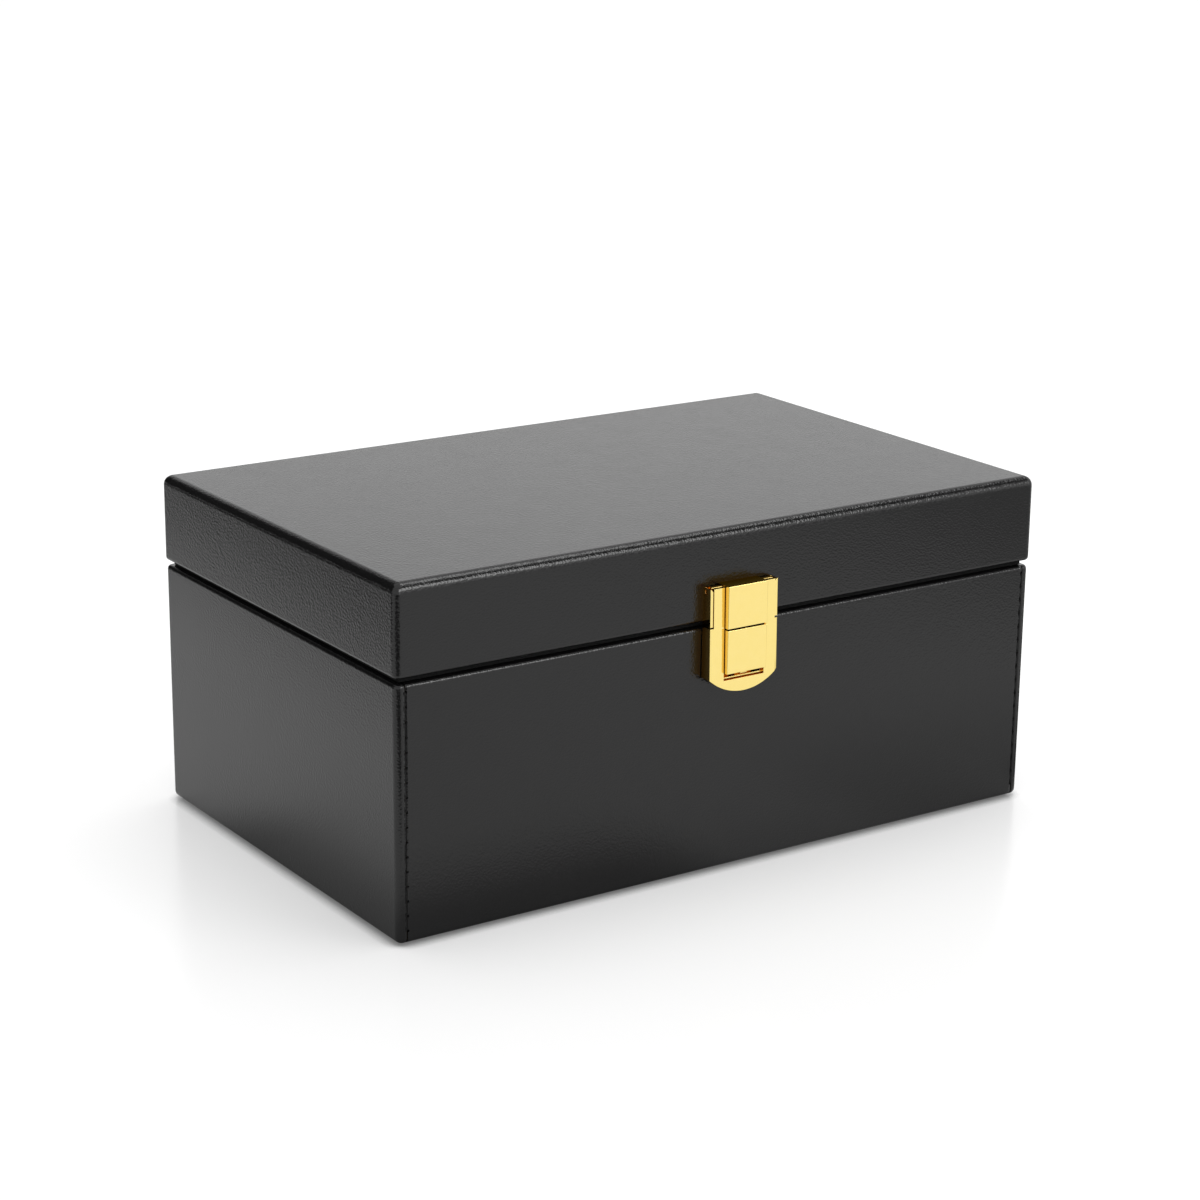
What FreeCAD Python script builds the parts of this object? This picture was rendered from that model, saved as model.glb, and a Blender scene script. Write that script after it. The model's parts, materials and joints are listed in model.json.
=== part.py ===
"""Shielding box: a wrapped board box with a hinged lid, a collar, a woven lining and a hasp latch.

Millimetres. The origin is on the floor under the middle of the base. +X runs along the front to
the right, +Y to the back, where the hinges are, and +Z up. The latch is on the front, at -Y.
"""
import FreeCAD, Part
import Sketcher
import math
import os
import re

doc = FreeCAD.newDocument("shielding_box")

# Driving dimensions, in millimetres unless a name says otherwise
DIMENSIONS = {
    # The outer box
    "box_length": 240.0,
    "box_depth": 150.0,
    "base_height": 80.7,
    "lid_gap": 1.7,
    "lid_height": 28.4,
    "lid_overhang": 0.3,
    "corner_radius": 2.2,
    "lid_top_radius": 3.0,
    "rim_radius": 1.2,
    "foot_radius": 2.0,
    # The wrap, glued round the boards and turned in at their edges
    "skin_thickness": 0.8,
    "turn_under": 12.0,
    "seam_inset": 3.0,
    "seam_gap": 0.4,
    # Boards, collar, lining and pads
    "base_board": 7.2,
    "bottom_board": 4.0,
    "lid_top_board": 5.0,
    "collar_thickness": 3.0,
    "collar_rise": 6.0,
    "collar_clearance": 0.5,
    "lining_thickness": 0.6,
    "lining_lift": 0.2,
    "pad_thickness": 3.0,
    "pad_clearance": 0.5,
    "underside_thickness": 0.6,
    "underside_inset": 2.5,
    "gasket_width": 6.0,
    "gasket_clearance": 0.3,
    "gasket_notch_play": 0.4,
    # Butt hinges at the back
    "hinge_inset": 50.0,
    "hinge_width": 24.0,
    "middle_knuckle": 8.0,
    "leaf_thickness": 0.7,
    "leaf_seat": 5.5,
    "knuckle_radius": 1.8,
    "knuckle_standoff": 0.3,
    "knuckle_play": 0.15,
    "hinge_pin_radius": 0.8,
    "running_clearance": 0.05,
    "hinge_screw_spacing": 14.0,
    "hinge_screw_radius": 0.7,
    "hinge_screw_head": 1.4,
    "hinge_screw_length": 4.5,
    # Latch: what all three of its castings share
    "latch_width": 25.4,
    "latch_depth": 5.0,
    "latch_taper": 0.5,
    "block_width": 14.8,
    "block_depth": 6.4,
    "block_edge": 0.2,
    "flange_thickness": 0.8,
    "bevel_width": 1.0,
    "bevel_depth": 0.35,
    "latch_screw_radius": 0.7,
    "latch_screw_head": 1.35,
    "latch_screw_crown": 0.95,
    "latch_screw_dome": 0.6,
    "latch_screw_length": 6.0,
    # Latch: the lid's casting and its pin
    "pin_height": 10.1,
    "pin_standoff": 2.2,
    "pin_radius": 0.8,
    "pin_inset": 0.1,
    "cheek_thickness": 1.0,
    "cheek_rise": 1.2,
    "cheek_notch": 0.8,
    "cheek_setback": 0.3,
    "block_rise": 1.75,
    "lid_flange_lift": 1.4,
    "lid_screw_lift": 4.1,
    # Latch: the hasp
    "arm_play": 0.15,
    "window_play": 0.2,
    "barrel_radius": 1.5,
    "barrel_relief": 0.2,
    "hasp_thickness": 1.4,
    "hasp_length": 32.6,
    "window_length": 27.75,
    "tab_height": 4.9,
    "tab_thickness": 1.0,
    "tab_root": 1.5,
    "skirt_rise": 0.5,
    "skirt_standoff": 0.35,
    "side_split": 0.5,
    "sill_height": 0.7,
    "sill_recess": 1.0,
    "sill_lip": 0.2,
    "sill_trench": 0.5,
    "shelf_standoff": 1.5,
    # Latch: the keeper on the base
    "keeper_drop": 0.4,
    "block_split": 0.5,
    "keeper_gap": 1.65,
    "keeper_flange_width": 22.0,
    "keeper_flange_drop": 1.6,
    "keeper_tail": 3.5,
    "keeper_screw_spacing": 7.0,
    "catch_width": 2.5,
    "catch_radius": 0.9,
    "catch_clearance": 0.25,
    "catch_standoff": 3.9,
}

# Places and sizes that follow from the driving dimensions
DERIVED = {
    "half_length": "box_length / 2",
    "half_depth": "box_depth / 2",
    "lid_half_length": "half_length + lid_overhang",
    "lid_half_depth": "half_depth + lid_overhang",
    "lid_bottom": "base_height + lid_gap",
    "lid_top": "lid_bottom + lid_height",
    "base_foot": "underside_thickness",
    "board_foot": "base_foot + skin_thickness",
    "board_rim": "base_height - skin_thickness",
    "core_half_length": "half_length - skin_thickness",
    "core_half_depth": "half_depth - skin_thickness",
    "wall_inner_x": "core_half_length - base_board",
    "wall_inner_y": "core_half_depth - base_board",
    "floor_top": "board_foot + bottom_board",
    "collar_top": "base_height + collar_rise",
    "collar_inner_x": "wall_inner_x - collar_thickness",
    "collar_inner_y": "wall_inner_y - collar_thickness",
    "room_x": "collar_inner_x - lining_thickness",
    "room_y": "collar_inner_y - lining_thickness",
    "room_floor": "floor_top + lining_thickness",
    "lid_core_x": "lid_half_length - skin_thickness",
    "lid_core_y": "lid_half_depth - skin_thickness",
    "lid_room_x": "wall_inner_x + collar_clearance",
    "lid_room_y": "wall_inner_y + collar_clearance",
    "lid_wall_x": "lid_room_x + lining_thickness",
    "lid_wall_y": "lid_room_y + lining_thickness",
    "lid_core_bottom": "lid_bottom + skin_thickness",
    "lid_core_top": "lid_top - skin_thickness",
    "lid_ceiling": "lid_core_top - lid_top_board",
    "lining_ceiling": "lid_ceiling - lining_thickness",
    "seam_x": "half_length - seam_inset",
    "hinge_x": "half_length - hinge_inset",
    "axis_y": "lid_half_depth + knuckle_standoff + knuckle_radius",
    "axis_z": "base_height + lid_gap / 2",
    "leaf_front": "half_depth - leaf_seat",
    "hinge_screw_y": "half_depth - leaf_seat / 2",
    "half_latch": "latch_width / 2",
    "half_block": "block_width / 2",
    "half_window": "half_block + window_play",
    "cheek_inner": "half_latch - cheek_thickness",
    "arm_outer": "cheek_inner - arm_play",
    "pin_z": "lid_bottom + pin_height",
    "pin_y": "0 - half_depth - pin_standoff",
    "latch_top": "pin_z + cheek_rise",
    "top_front": "half_depth + latch_depth - latch_taper",
    "foot_front": "half_depth + latch_depth",
    "front_slope": "latch_taper / (latch_top - hasp_foot)",
    "block_front": "half_depth + block_depth",
    "keeper_top": "base_height - keeper_drop",
    "lid_block_bottom": "keeper_top + block_split",
    "lid_block_top": "pin_z + block_rise",
    "lid_flange_bottom": "lid_bottom + lid_flange_lift",
    "skirt_top": "base_height + skirt_rise",
    "cheek_bottom": "skirt_top + side_split",
    "hasp_foot": "pin_z - hasp_length",
    "side_foot": "hasp_foot + tab_height",
    "window_floor": "pin_z - window_length",
    "keeper_bottom": "window_floor + keeper_gap",
    "catch_foot": "window_floor + catch_clearance",
    "keeper_flange_top": "base_height - keeper_flange_drop",
    "keeper_middle": "(keeper_bottom + keeper_flange_top) / 2",
    "half_keeper_flange": "keeper_flange_width / 2",
    "latch_screw_x": "(half_block + half_keeper_flange) / 2",
}

SIDES = {"front": (0, -1), "back": (0, 1), "left": (-1, 0), "right": (1, 0)}
ENDS = {"left": -1, "right": 1}
CUT_MARGIN = 5.0
CORNER_SLACK = 1e-4


# The sheet and its formulas
def make_sheet():
    """Write every driving dimension to a sheet as a plain number with an alias."""
    sheet = doc.addObject("Spreadsheet::Sheet", "Dimensions")
    for row, (alias, value) in enumerate(DIMENSIONS.items(), 1):
        sheet.set(f"A{row}", alias)
        sheet.set(f"B{row}", str(value))
        sheet.setAlias(f"B{row}", alias)
    doc.recompute()


def formula(text):
    """Spell a formula out in references to the sheet's cells."""

    def spell(match):
        word = match.group(0)
        if word in DERIVED:
            return f"({formula(DERIVED[word])})"
        if word in DIMENSIONS:
            return f"Dimensions.{word}"
        return word

    return re.sub(r"[a-z_]+", spell, str(text))


def make_gauge():
    """Make an object whose one number follows whatever formula is bound to it."""
    gauge = doc.addObject("App::FeaturePython", "Gauge")
    gauge.addProperty("App::PropertyFloat", "Reading")
    return gauge


def value_of(text):
    """Return what a formula comes to now."""
    GAUGE.setExpression("Reading", formula(text))
    GAUGE.recompute()
    return GAUGE.Reading


def bind(target, formulas):
    """Bind an object's properties to formulas."""
    for name, text in formulas.items():
        target.setExpression(name, formula(text))


# Plain solids and booleans
def block(name, x_span, y_span, z_span):
    """Make a box between two formulas on each axis."""
    box = doc.addObject("Part::Box", name)
    spans = {"Length": x_span, "Width": y_span, "Height": z_span}
    for side, (low, high) in spans.items():
        box.setExpression(side, formula(f"({high}) - ({low})"))
    bind(box, {
        "Placement.Base.x": x_span[0],
        "Placement.Base.y": y_span[0],
        "Placement.Base.z": z_span[0],
    })
    return box


def turned_solid(kind, name, axis, place, sizes):
    """Make a cylinder or a cone that starts at a place and runs along an axis."""
    solid = doc.addObject(kind, name)
    turn = FreeCAD.Rotation(FreeCAD.Vector(0, 0, 1), FreeCAD.Vector(*axis))
    solid.Placement = FreeCAD.Placement(FreeCAD.Vector(0, 0, 0), turn)
    bind(solid, sizes)
    bind(solid, dict(zip(("Placement.Base.x", "Placement.Base.y", "Placement.Base.z"), place)))
    return solid


def cylinder(name, axis, place, radius, length):
    """Make a cylinder along an axis."""
    return turned_solid("Part::Cylinder", name, axis, place, {"Radius": radius, "Height": length})


def cone(name, axis, place, start_radius, end_radius, length):
    """Make a truncated cone along an axis."""
    sizes = {"Radius1": start_radius, "Radius2": end_radius, "Height": length}
    return turned_solid("Part::Cone", name, axis, place, sizes)


def cut(name, base, *tools):
    """Cut each tool from the base in turn."""
    for number, tool in enumerate(tools, 1):
        step = doc.addObject("Part::Cut", f"{name}_cut_{number}")
        step.Base = base
        step.Tool = tool
        base = step
    return base


def common(name, base, tool):
    """Keep what two solids share."""
    step = doc.addObject("Part::Common", f"{name}_common")
    step.Base = base
    step.Tool = tool
    return step


def fuse(name, *shapes):
    """Join solids into one."""
    step = doc.addObject("Part::MultiFuse", f"{name}_fuse")
    step.Shapes = list(shapes)
    return step


def group(name, members):
    """Hold separate solids together as one sub-part."""
    step = doc.addObject("Part::Compound", f"{name}_group")
    step.Links = members
    return step


# Sketched bodies
def new_body(name):
    """Start a body."""
    return doc.addObject("PartDesign::Body", name)


def new_sketch(body, name, role, offset):
    """Start a sketch on one of the body's own origin planes, moved along its normal."""
    sketch = body.newObject("Sketcher::SketchObject", name)
    plane = next(item for item in body.Origin.OriginFeatures if item.Role == role)
    sketch.AttachmentSupport = [(plane, "")]
    sketch.MapMode = "FlatFace"
    sketch.setExpression("AttachmentOffset.Base.z", formula(offset))
    return sketch


def pin_down(sketch, element, point, x, y):
    """Fix a point of the sketch at two formulas from the sketch's origin."""
    for kind, text in (("DistanceX", x), ("DistanceY", y)):
        number = sketch.addConstraint(
            Sketcher.Constraint(kind, -1, 1, element, point, value_of(text))
        )
        sketch.setExpression(f"Constraints[{number}]", formula(text))


def arc_between(start, end, radius):
    """Return the short arc of a radius that bulges to the right on the way from start to end."""
    chord = end.sub(start)
    middle = start.add(end).multiply(0.5)
    rise = math.sqrt(max(radius**2 - (chord.Length / 2) ** 2, 0.0))
    to_left = FreeCAD.Vector(-chord.y, chord.x, 0).normalize()
    centre = middle.add(to_left.multiply(rise))
    first = math.atan2(start.y - centre.y, start.x - centre.x)
    last = math.atan2(end.y - centre.y, end.x - centre.x)
    circle_line = Part.Circle(centre, FreeCAD.Vector(0, 0, 1), radius)
    return Part.ArcOfCircle(circle_line, first, last)


def outline(body, name, role, offset, corners):
    """Sketch a closed outline. A corner with a third entry starts an arc of that radius."""
    sketch = new_sketch(body, name, role, offset)
    points = [FreeCAD.Vector(value_of(corner[0]), value_of(corner[1]), 0) for corner in corners]
    for number, corner in enumerate(corners):
        start = points[number]
        end = points[(number + 1) % len(points)]
        if len(corner) == 3:
            side = arc_between(start, end, value_of(corner[2]))
        else:
            side = Part.LineSegment(start, end)
        sketch.addGeometry(side, False)
    for number, corner in enumerate(corners):
        following = (number + 1) % len(corners)
        sketch.addConstraint(Sketcher.Constraint("Coincident", number, 2, following, 1))
        pin_down(sketch, number, 1, corner[0], corner[1])
        if len(corner) == 3:
            bound = sketch.addConstraint(
                Sketcher.Constraint("Radius", number, value_of(corner[2]))
            )
            sketch.setExpression(f"Constraints[{bound}]", formula(corner[2]))
    return sketch


def rectangle(body, name, role, offset, x_span, y_span):
    """Sketch a rectangle between two formulas each way."""
    corners = [
        (x_span[0], y_span[0]),
        (x_span[1], y_span[0]),
        (x_span[1], y_span[1]),
        (x_span[0], y_span[1]),
    ]
    return outline(body, name, role, offset, corners)


def circle(body, name, role, offset, x, y, radius):
    """Sketch a circle."""
    sketch = new_sketch(body, name, role, offset)
    centre = FreeCAD.Vector(value_of(x), value_of(y), 0)
    sketch.addGeometry(Part.Circle(centre, FreeCAD.Vector(0, 0, 1), value_of(radius)), False)
    pin_down(sketch, 0, 3, x, y)
    bound = sketch.addConstraint(Sketcher.Constraint("Radius", 0, value_of(radius)))
    sketch.setExpression(f"Constraints[{bound}]", formula(radius))
    return sketch


def pad(body, sketch, length, both_ways=False):
    """Pad a sketch along its normal, or half each way."""
    feature = body.newObject("PartDesign::Pad", f"{sketch.Name}_pad")
    feature.Profile = sketch
    feature.setExpression("Length", formula(length))
    if both_ways:
        feature.SideType = "Symmetric"
    doc.recompute()
    return feature


def pocket(body, sketch, length, both_ways=False, along_normal=False, lean=None):
    """Cut a sketch into the body against its normal, along it, half each way, or leaning over."""
    before = body.Shape.Volume
    feature = body.newObject("PartDesign::Pocket", f"{sketch.Name}_pocket")
    feature.Profile = sketch
    feature.setExpression("Length", formula(length))
    feature.Reversed = along_normal
    if both_ways:
        feature.SideType = "Symmetric"
    if lean:
        feature.UseCustomVector = True
        bind(feature, dict(zip(("Direction.x", "Direction.y", "Direction.z"), lean)))
    doc.recompute()
    if body.Shape.Volume >= before:
        raise RuntimeError(f"{feature.Name} cuts nothing")
    return feature


def mirror(body, features):
    """Repeat features on the other side of the body's middle plane."""
    plane = next(item for item in body.Origin.OriginFeatures if item.Role == "YZ_Plane")
    feature = body.newObject("PartDesign::Mirrored", f"{features[0].Name}_mirror")
    feature.Originals = features
    feature.MirrorPlane = (plane, [""])
    body.Tip = feature
    doc.recompute()
    return feature


def edges_where(body, wanted):
    """Name the body's edges whose box of corners passes a test."""
    return [
        f"Edge{number}"
        for number, edge in enumerate(body.Shape.Edges, 1)
        if wanted(edge.BoundBox)
    ]


def dress(body, kind, name, edges, sizes):
    """Fillet or chamfer named edges of the body's last feature."""
    base = body.Tip
    feature = body.newObject(kind, f"{body.Name}_{name}")
    feature.Base = (base, edges)
    bind(feature, sizes)
    doc.recompute()
    return feature


def fillet(body, name, edges, radius):
    """Round named edges."""
    return dress(body, "PartDesign::Fillet", name, edges, {"Radius": radius})


def near(first, second):
    """Say whether two coordinates are the same."""
    return abs(first - second) < CORNER_SLACK


def rounded_block(name, half_x, half_y, z_span, radii):
    """Make a block whose upright corners, top edges and bottom edges are rounded."""
    body = new_body(name)
    x_span = (f"0 - ({half_x})", half_x)
    y_span = (f"0 - ({half_y})", half_y)
    plan = rectangle(body, f"{name}_plan", "XY_Plane", z_span[0], x_span, y_span)
    pad(body, plan, f"({z_span[1]}) - ({z_span[0]})")
    low, high = value_of(z_span[0]), value_of(z_span[1])
    tests = {
        "corners": lambda box: near(box.ZMin, low) and near(box.ZMax, high),
        "top": lambda box: near(box.ZMin, high),
        "foot": lambda box: near(box.ZMax, low),
    }
    for part, radius in zip(("corners", "top", "foot"), radii):
        fillet(body, part, edges_where(body, tests[part]), radius)
    return body


def mitred_board(name, side, outer, thickness, z_span):
    """Make one board of a four-sided frame, its ends cut at 45 degrees."""
    across_x, across_y = SIDES[side]
    outer_x, outer_y = outer
    inner_x = f"({outer_x}) - ({thickness})"
    inner_y = f"({outer_y}) - ({thickness})"
    if across_x:
        corners = [
            (f"{across_x} * ({outer_x})", f"0 - ({outer_y})"),
            (f"{across_x} * ({outer_x})", outer_y),
            (f"{across_x} * ({inner_x})", inner_y),
            (f"{across_x} * ({inner_x})", f"0 - ({inner_y})"),
        ]
    else:
        corners = [
            (f"0 - ({outer_x})", f"{across_y} * ({outer_y})"),
            (outer_x, f"{across_y} * ({outer_y})"),
            (inner_x, f"{across_y} * ({inner_y})"),
            (f"0 - ({inner_x})", f"{across_y} * ({inner_y})"),
        ]
    body = new_body(name)
    plan = outline(body, f"{name}_plan", "XY_Plane", z_span[0], corners)
    pad(body, plan, f"({z_span[1]}) - ({z_span[0]})")
    return body


def middle_span(half):
    """Return the span from minus a formula to plus it."""
    return (f"0 - ({half})", half)


def hinge_span(sign, play):
    """Return the span of the left or right hinge along the back, with play at both ends."""
    middle = f"{sign} * hinge_x"
    return (f"{middle} - hinge_width / 2 - {play}", f"{middle} + hinge_width / 2 + {play}")


# The base: boards, wrap, collar, lining and pads
def make_base(screws):
    """Make the base's pieces. The screws' own shanks leave their holes in boards and wrap."""
    outer = rounded_block(
        "base_outer", "half_length", "half_depth", ("base_foot", "base_height"),
        ("corner_radius", "rim_radius", "foot_radius"),
    )
    core = rounded_block(
        "base_core", "core_half_length", "core_half_depth", ("board_foot", "board_rim"),
        ("corner_radius - skin_thickness", "rim_radius - skin_thickness",
         "foot_radius - skin_thickness"),
    )
    parts = {}
    for side in SIDES:
        name = f"base_{side}_wall"
        board = mitred_board(
            f"{name}_board", side, ("core_half_length", "core_half_depth"), "base_board",
            ("board_foot", "board_rim"),
        )
        wall = common(name, board, core)
        parts[name] = cut(name, wall, screws["keeper"], screws["base_hinge"])
    parts["base_bottom_panel"] = block(
        "bottom_panel", middle_span("wall_inner_x"), middle_span("wall_inner_y"),
        ("board_foot", "floor_top"),
    )

    mouth = block(
        "base_mouth", middle_span("wall_inner_x"), middle_span("wall_inner_y"),
        ("floor_top", f"base_height + {CUT_MARGIN}"),
    )
    underside_window = block(
        "underside_window", middle_span("half_length - turn_under"),
        middle_span("half_depth - turn_under"), ("0", "floor_top"),
    )
    shell = cut("base_shell", outer, core, mouth, underside_window,
                screws["keeper"], screws["base_hinge"])
    front_depth = (f"0 - half_depth - {CUT_MARGIN}", f"turn_under + {CUT_MARGIN} - half_depth")
    full_height = ("0", f"base_height + {CUT_MARGIN}")
    front_piece = block(
        "front_piece", middle_span("seam_x - seam_gap / 2"), front_depth, full_height
    )
    front_space = block(
        "front_space", middle_span("seam_x + seam_gap / 2"), front_depth, full_height
    )
    parts["base_front_wrap"] = common("base_front_wrap", shell, front_piece)
    parts["base_side_wrap"] = cut("base_side_wrap", shell, front_space)

    underside = new_body("underside")
    felt = rectangle(
        underside, "felt", "XY_Plane", "0",
        middle_span("half_length - underside_inset"), middle_span("half_depth - underside_inset"),
    )
    pad(underside, felt, "underside_thickness")
    island = rectangle(
        underside, "island", "XY_Plane", "underside_thickness",
        middle_span("half_length - turn_under"), middle_span("half_depth - turn_under"),
    )
    pad(underside, island, "skin_thickness")
    parts["underside_sheet"] = underside

    for side in SIDES:
        name = f"collar_{side}"
        parts[name] = mitred_board(
            f"{name}_board", side, ("wall_inner_x", "wall_inner_y"), "collar_thickness",
            ("floor_top", "collar_top"),
        )

    lining_body = block(
        "lining_body", middle_span("collar_inner_x"), middle_span("collar_inner_y"),
        ("floor_top", "collar_top + lining_thickness"),
    )
    lining_brim = block(
        "lining_brim", middle_span("wall_inner_x"), middle_span("wall_inner_y"),
        ("collar_top", "collar_top + lining_thickness"),
    )
    room = block(
        "base_room", middle_span("room_x"), middle_span("room_y"),
        ("room_floor", f"collar_top + {CUT_MARGIN}"),
    )
    parts["base_lining"] = cut("base_lining", fuse("base_lining", lining_body, lining_brim), room)
    parts["floor_pad"] = soft_pad("floor_pad", "room_x", "room_y", "room_floor")

    gasket_outer = block(
        "gasket_outer", middle_span("wall_inner_x + gasket_width"),
        middle_span("wall_inner_y + gasket_width"), ("base_height", "lid_bottom - gasket_clearance"),
    )
    gasket_inner = block(
        "gasket_inner", middle_span("wall_inner_x"), middle_span("wall_inner_y"),
        (f"base_height - {CUT_MARGIN}", f"base_height + {CUT_MARGIN}"),
    )
    notches = [
        block(
            f"{side}_gasket_notch", hinge_span(sign, "gasket_notch_play"),
            ("leaf_front - gasket_notch_play", f"half_depth + {CUT_MARGIN}"),
            (f"base_height - {CUT_MARGIN}", f"base_height + {CUT_MARGIN}"),
        )
        for side, sign in ENDS.items()
    ]
    parts["rim_gasket"] = cut("rim_gasket", gasket_outer, gasket_inner, *notches)
    return parts


def soft_pad(name, half_x, half_y, foot):
    """Make a foam pad that lies in a room with play all round."""
    body = new_body(name)
    plan = rectangle(
        body, f"{name}_plan", "XY_Plane", foot,
        middle_span(f"{half_x} - pad_clearance"), middle_span(f"{half_y} - pad_clearance"),
    )
    pad(body, plan, "pad_thickness")
    return body


# The lid: boards, wrap, lining and pad
def make_lid(screws):
    """Make the lid's pieces."""
    outer = rounded_block(
        "lid_outer", "lid_half_length", "lid_half_depth", ("lid_bottom", "lid_top"),
        ("corner_radius", "lid_top_radius", "rim_radius"),
    )
    core = rounded_block(
        "lid_core", "lid_core_x", "lid_core_y", ("lid_core_bottom", "lid_core_top"),
        ("corner_radius - skin_thickness", "lid_top_radius - skin_thickness",
         "rim_radius - skin_thickness"),
    )
    parts = {}
    for side in SIDES:
        name = f"lid_{side}_wall"
        board = mitred_board(
            f"{name}_board", side, ("lid_core_x", "lid_core_y"), "lid_core_x - lid_wall_x",
            ("lid_core_bottom", "lid_ceiling"),
        )
        wall = common(name, board, core)
        parts[name] = cut(name, wall, screws["lid_latch"], screws["lid_hinge"])
    top_slab = block(
        "top_slab", middle_span("lid_half_length"), middle_span("lid_half_depth"),
        ("lid_ceiling", "lid_top"),
    )
    parts["lid_top_panel"] = common("lid_top_panel", core, top_slab)

    mouth = block(
        "lid_mouth", middle_span("lid_wall_x"), middle_span("lid_wall_y"),
        (f"lid_bottom - {CUT_MARGIN}", "lid_ceiling"),
    )
    parts["lid_wrap"] = cut("lid_wrap", outer, core, mouth, screws["lid_latch"], screws["lid_hinge"])

    lining_body = block(
        "lid_lining_body", middle_span("lid_wall_x"), middle_span("lid_wall_y"),
        ("lid_bottom + lining_lift", "lid_ceiling"),
    )
    room = block(
        "lid_room", middle_span("lid_room_x"), middle_span("lid_room_y"),
        (f"lid_bottom - {CUT_MARGIN}", "lining_ceiling"),
    )
    parts["lid_lining"] = cut("lid_lining", lining_body, room)
    parts["ceiling_pad"] = soft_pad(
        "ceiling_pad", "lid_room_x", "lid_room_y", "lining_ceiling - pad_thickness"
    )
    return parts


# Fasteners
def countersunk_screw(name, place, up):
    """Make a countersunk wood screw whose head fills its leaf and points up or down."""
    x, y, foot = place
    axis = (0, 0, up)
    head = cone(f"{name}_head", axis, (x, y, foot), "hinge_screw_radius", "hinge_screw_head",
                "leaf_thickness")
    shank = cylinder(f"{name}_shank", (0, 0, -up), (x, y, foot), "hinge_screw_radius",
                     "hinge_screw_length")
    return fuse(name, head, shank)


def latch_screw(name, place):
    """Make a pan-head wood screw whose head stands in front of a flange."""
    x, seat, z = place
    forward = (0, -1, 0)
    backward = (0, 1, 0)
    shank = cylinder(f"{name}_shank", backward, (x, f"0 - ({seat})", z), "latch_screw_radius",
                     "latch_screw_length")
    head = cone(f"{name}_head", forward, (x, f"0 - ({seat})", z), "latch_screw_head",
                "latch_screw_crown", "latch_screw_dome")
    return fuse(name, shank, head)


def make_screws():
    """Make the four groups of wood screws."""
    hinges = {"base_hinge": [], "lid_hinge": []}
    seats = {
        "base_hinge": ("base_height", 1),
        "lid_hinge": ("lid_bottom", -1),
    }
    for kind, (seat, up) in seats.items():
        for side, sign in ENDS.items():
            for step in (-1, 1):
                x = f"{sign} * hinge_x + {step} * hinge_screw_spacing / 2"
                name = f"{kind}_screw_{side}_{'inner' if step * sign < 0 else 'outer'}"
                hinges[kind].append(countersunk_screw(name, (x, "hinge_screw_y", seat), up))
    lid_latch = []
    keeper = []
    for side, sign in ENDS.items():
        x = f"{sign} * latch_screw_x"
        lid_seat = "lid_half_depth + flange_thickness"
        base_seat = "half_depth + flange_thickness"
        lid_latch.append(
            latch_screw(f"lid_latch_screw_{side}", (x, lid_seat, "lid_bottom + lid_screw_lift"))
        )
        for level, step in {"lower": -1, "upper": 1}.items():
            z = f"keeper_middle + {step} * keeper_screw_spacing / 2"
            keeper.append(latch_screw(f"keeper_screw_{side}_{level}", (x, base_seat, z)))
    return {
        "base_hinge": group("base_hinge_screws", hinges["base_hinge"]),
        "lid_hinge": group("lid_hinge_screws", hinges["lid_hinge"]),
        "lid_latch": group("lid_latch_screws", lid_latch),
        "keeper": group("keeper_screws", keeper),
    }


# Butt hinges
def knuckle(name, x_span):
    """Make a hinge knuckle round the lid's axis between two places along it."""
    low, high = x_span
    return cylinder(name, (1, 0, 0), (low, "axis_y", "axis_z"), "knuckle_radius",
                    f"({high}) - ({low})")


def hinge_leaf(name, middle, owner, screws):
    """Make one leaf with its knuckles: two outer ones for the base, a middle one for the lid."""
    ends = (f"{middle} - hinge_width / 2", f"{middle} + hinge_width / 2")
    inner = (f"{middle} - middle_knuckle / 2", f"{middle} + middle_knuckle / 2")
    clear_inner = (f"{inner[0]} - knuckle_play", f"{inner[1]} + knuckle_play")
    notch_y = ("axis_y - knuckle_radius - knuckle_play", f"axis_y + {CUT_MARGIN}")
    notch_z = (f"axis_z - {CUT_MARGIN}", f"axis_z + {CUT_MARGIN}")
    if owner == "base":
        z_span = ("base_height", "base_height + leaf_thickness")
        knuckles = [
            knuckle(f"{name}_knuckle_left", (ends[0], clear_inner[0])),
            knuckle(f"{name}_knuckle_right", (clear_inner[1], ends[1])),
        ]
        notches = [block(f"{name}_notch", clear_inner, notch_y, notch_z)]
        bore_radius = "hinge_pin_radius"
    else:
        z_span = ("lid_bottom - leaf_thickness", "lid_bottom")
        knuckles = [knuckle(f"{name}_knuckle", inner)]
        notches = [
            block(f"{name}_notch_left", (f"{ends[0]} - {CUT_MARGIN}", inner[0]), notch_y, notch_z),
            block(f"{name}_notch_right", (inner[1], f"{ends[1]} + {CUT_MARGIN}"), notch_y, notch_z),
        ]
        bore_radius = "hinge_pin_radius + running_clearance"
    plate = block(f"{name}_plate", ends, ("leaf_front", "axis_y"), z_span)
    bore = cylinder(f"{name}_bore", (1, 0, 0), (f"{ends[0]} - {CUT_MARGIN}", "axis_y", "axis_z"),
                    bore_radius, f"hinge_width + {2 * CUT_MARGIN}")
    trimmed = cut(f"{name}_trimmed", plate, *notches)
    return cut(name, fuse(name, trimmed, *knuckles), bore, screws)


def make_hinges(screws):
    """Make both hinges: a base leaf, a lid leaf and a pin each."""
    base, lid = {}, {}
    for side, sign in ENDS.items():
        middle = f"{sign} * hinge_x"
        base[f"{side}_hinge_base_leaf"] = hinge_leaf(
            f"{side}_base_leaf", middle, "base", screws["base_hinge"]
        )
        base[f"{side}_hinge_pin"] = cylinder(
            f"{side}_pin", (1, 0, 0), (f"{middle} - hinge_width / 2", "axis_y", "axis_z"),
            "hinge_pin_radius", "hinge_width",
        )
        lid[f"{side}_hinge_lid_leaf"] = hinge_leaf(
            f"{side}_lid_leaf", middle, "lid", screws["lid_hinge"]
        )
    return base, lid


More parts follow.
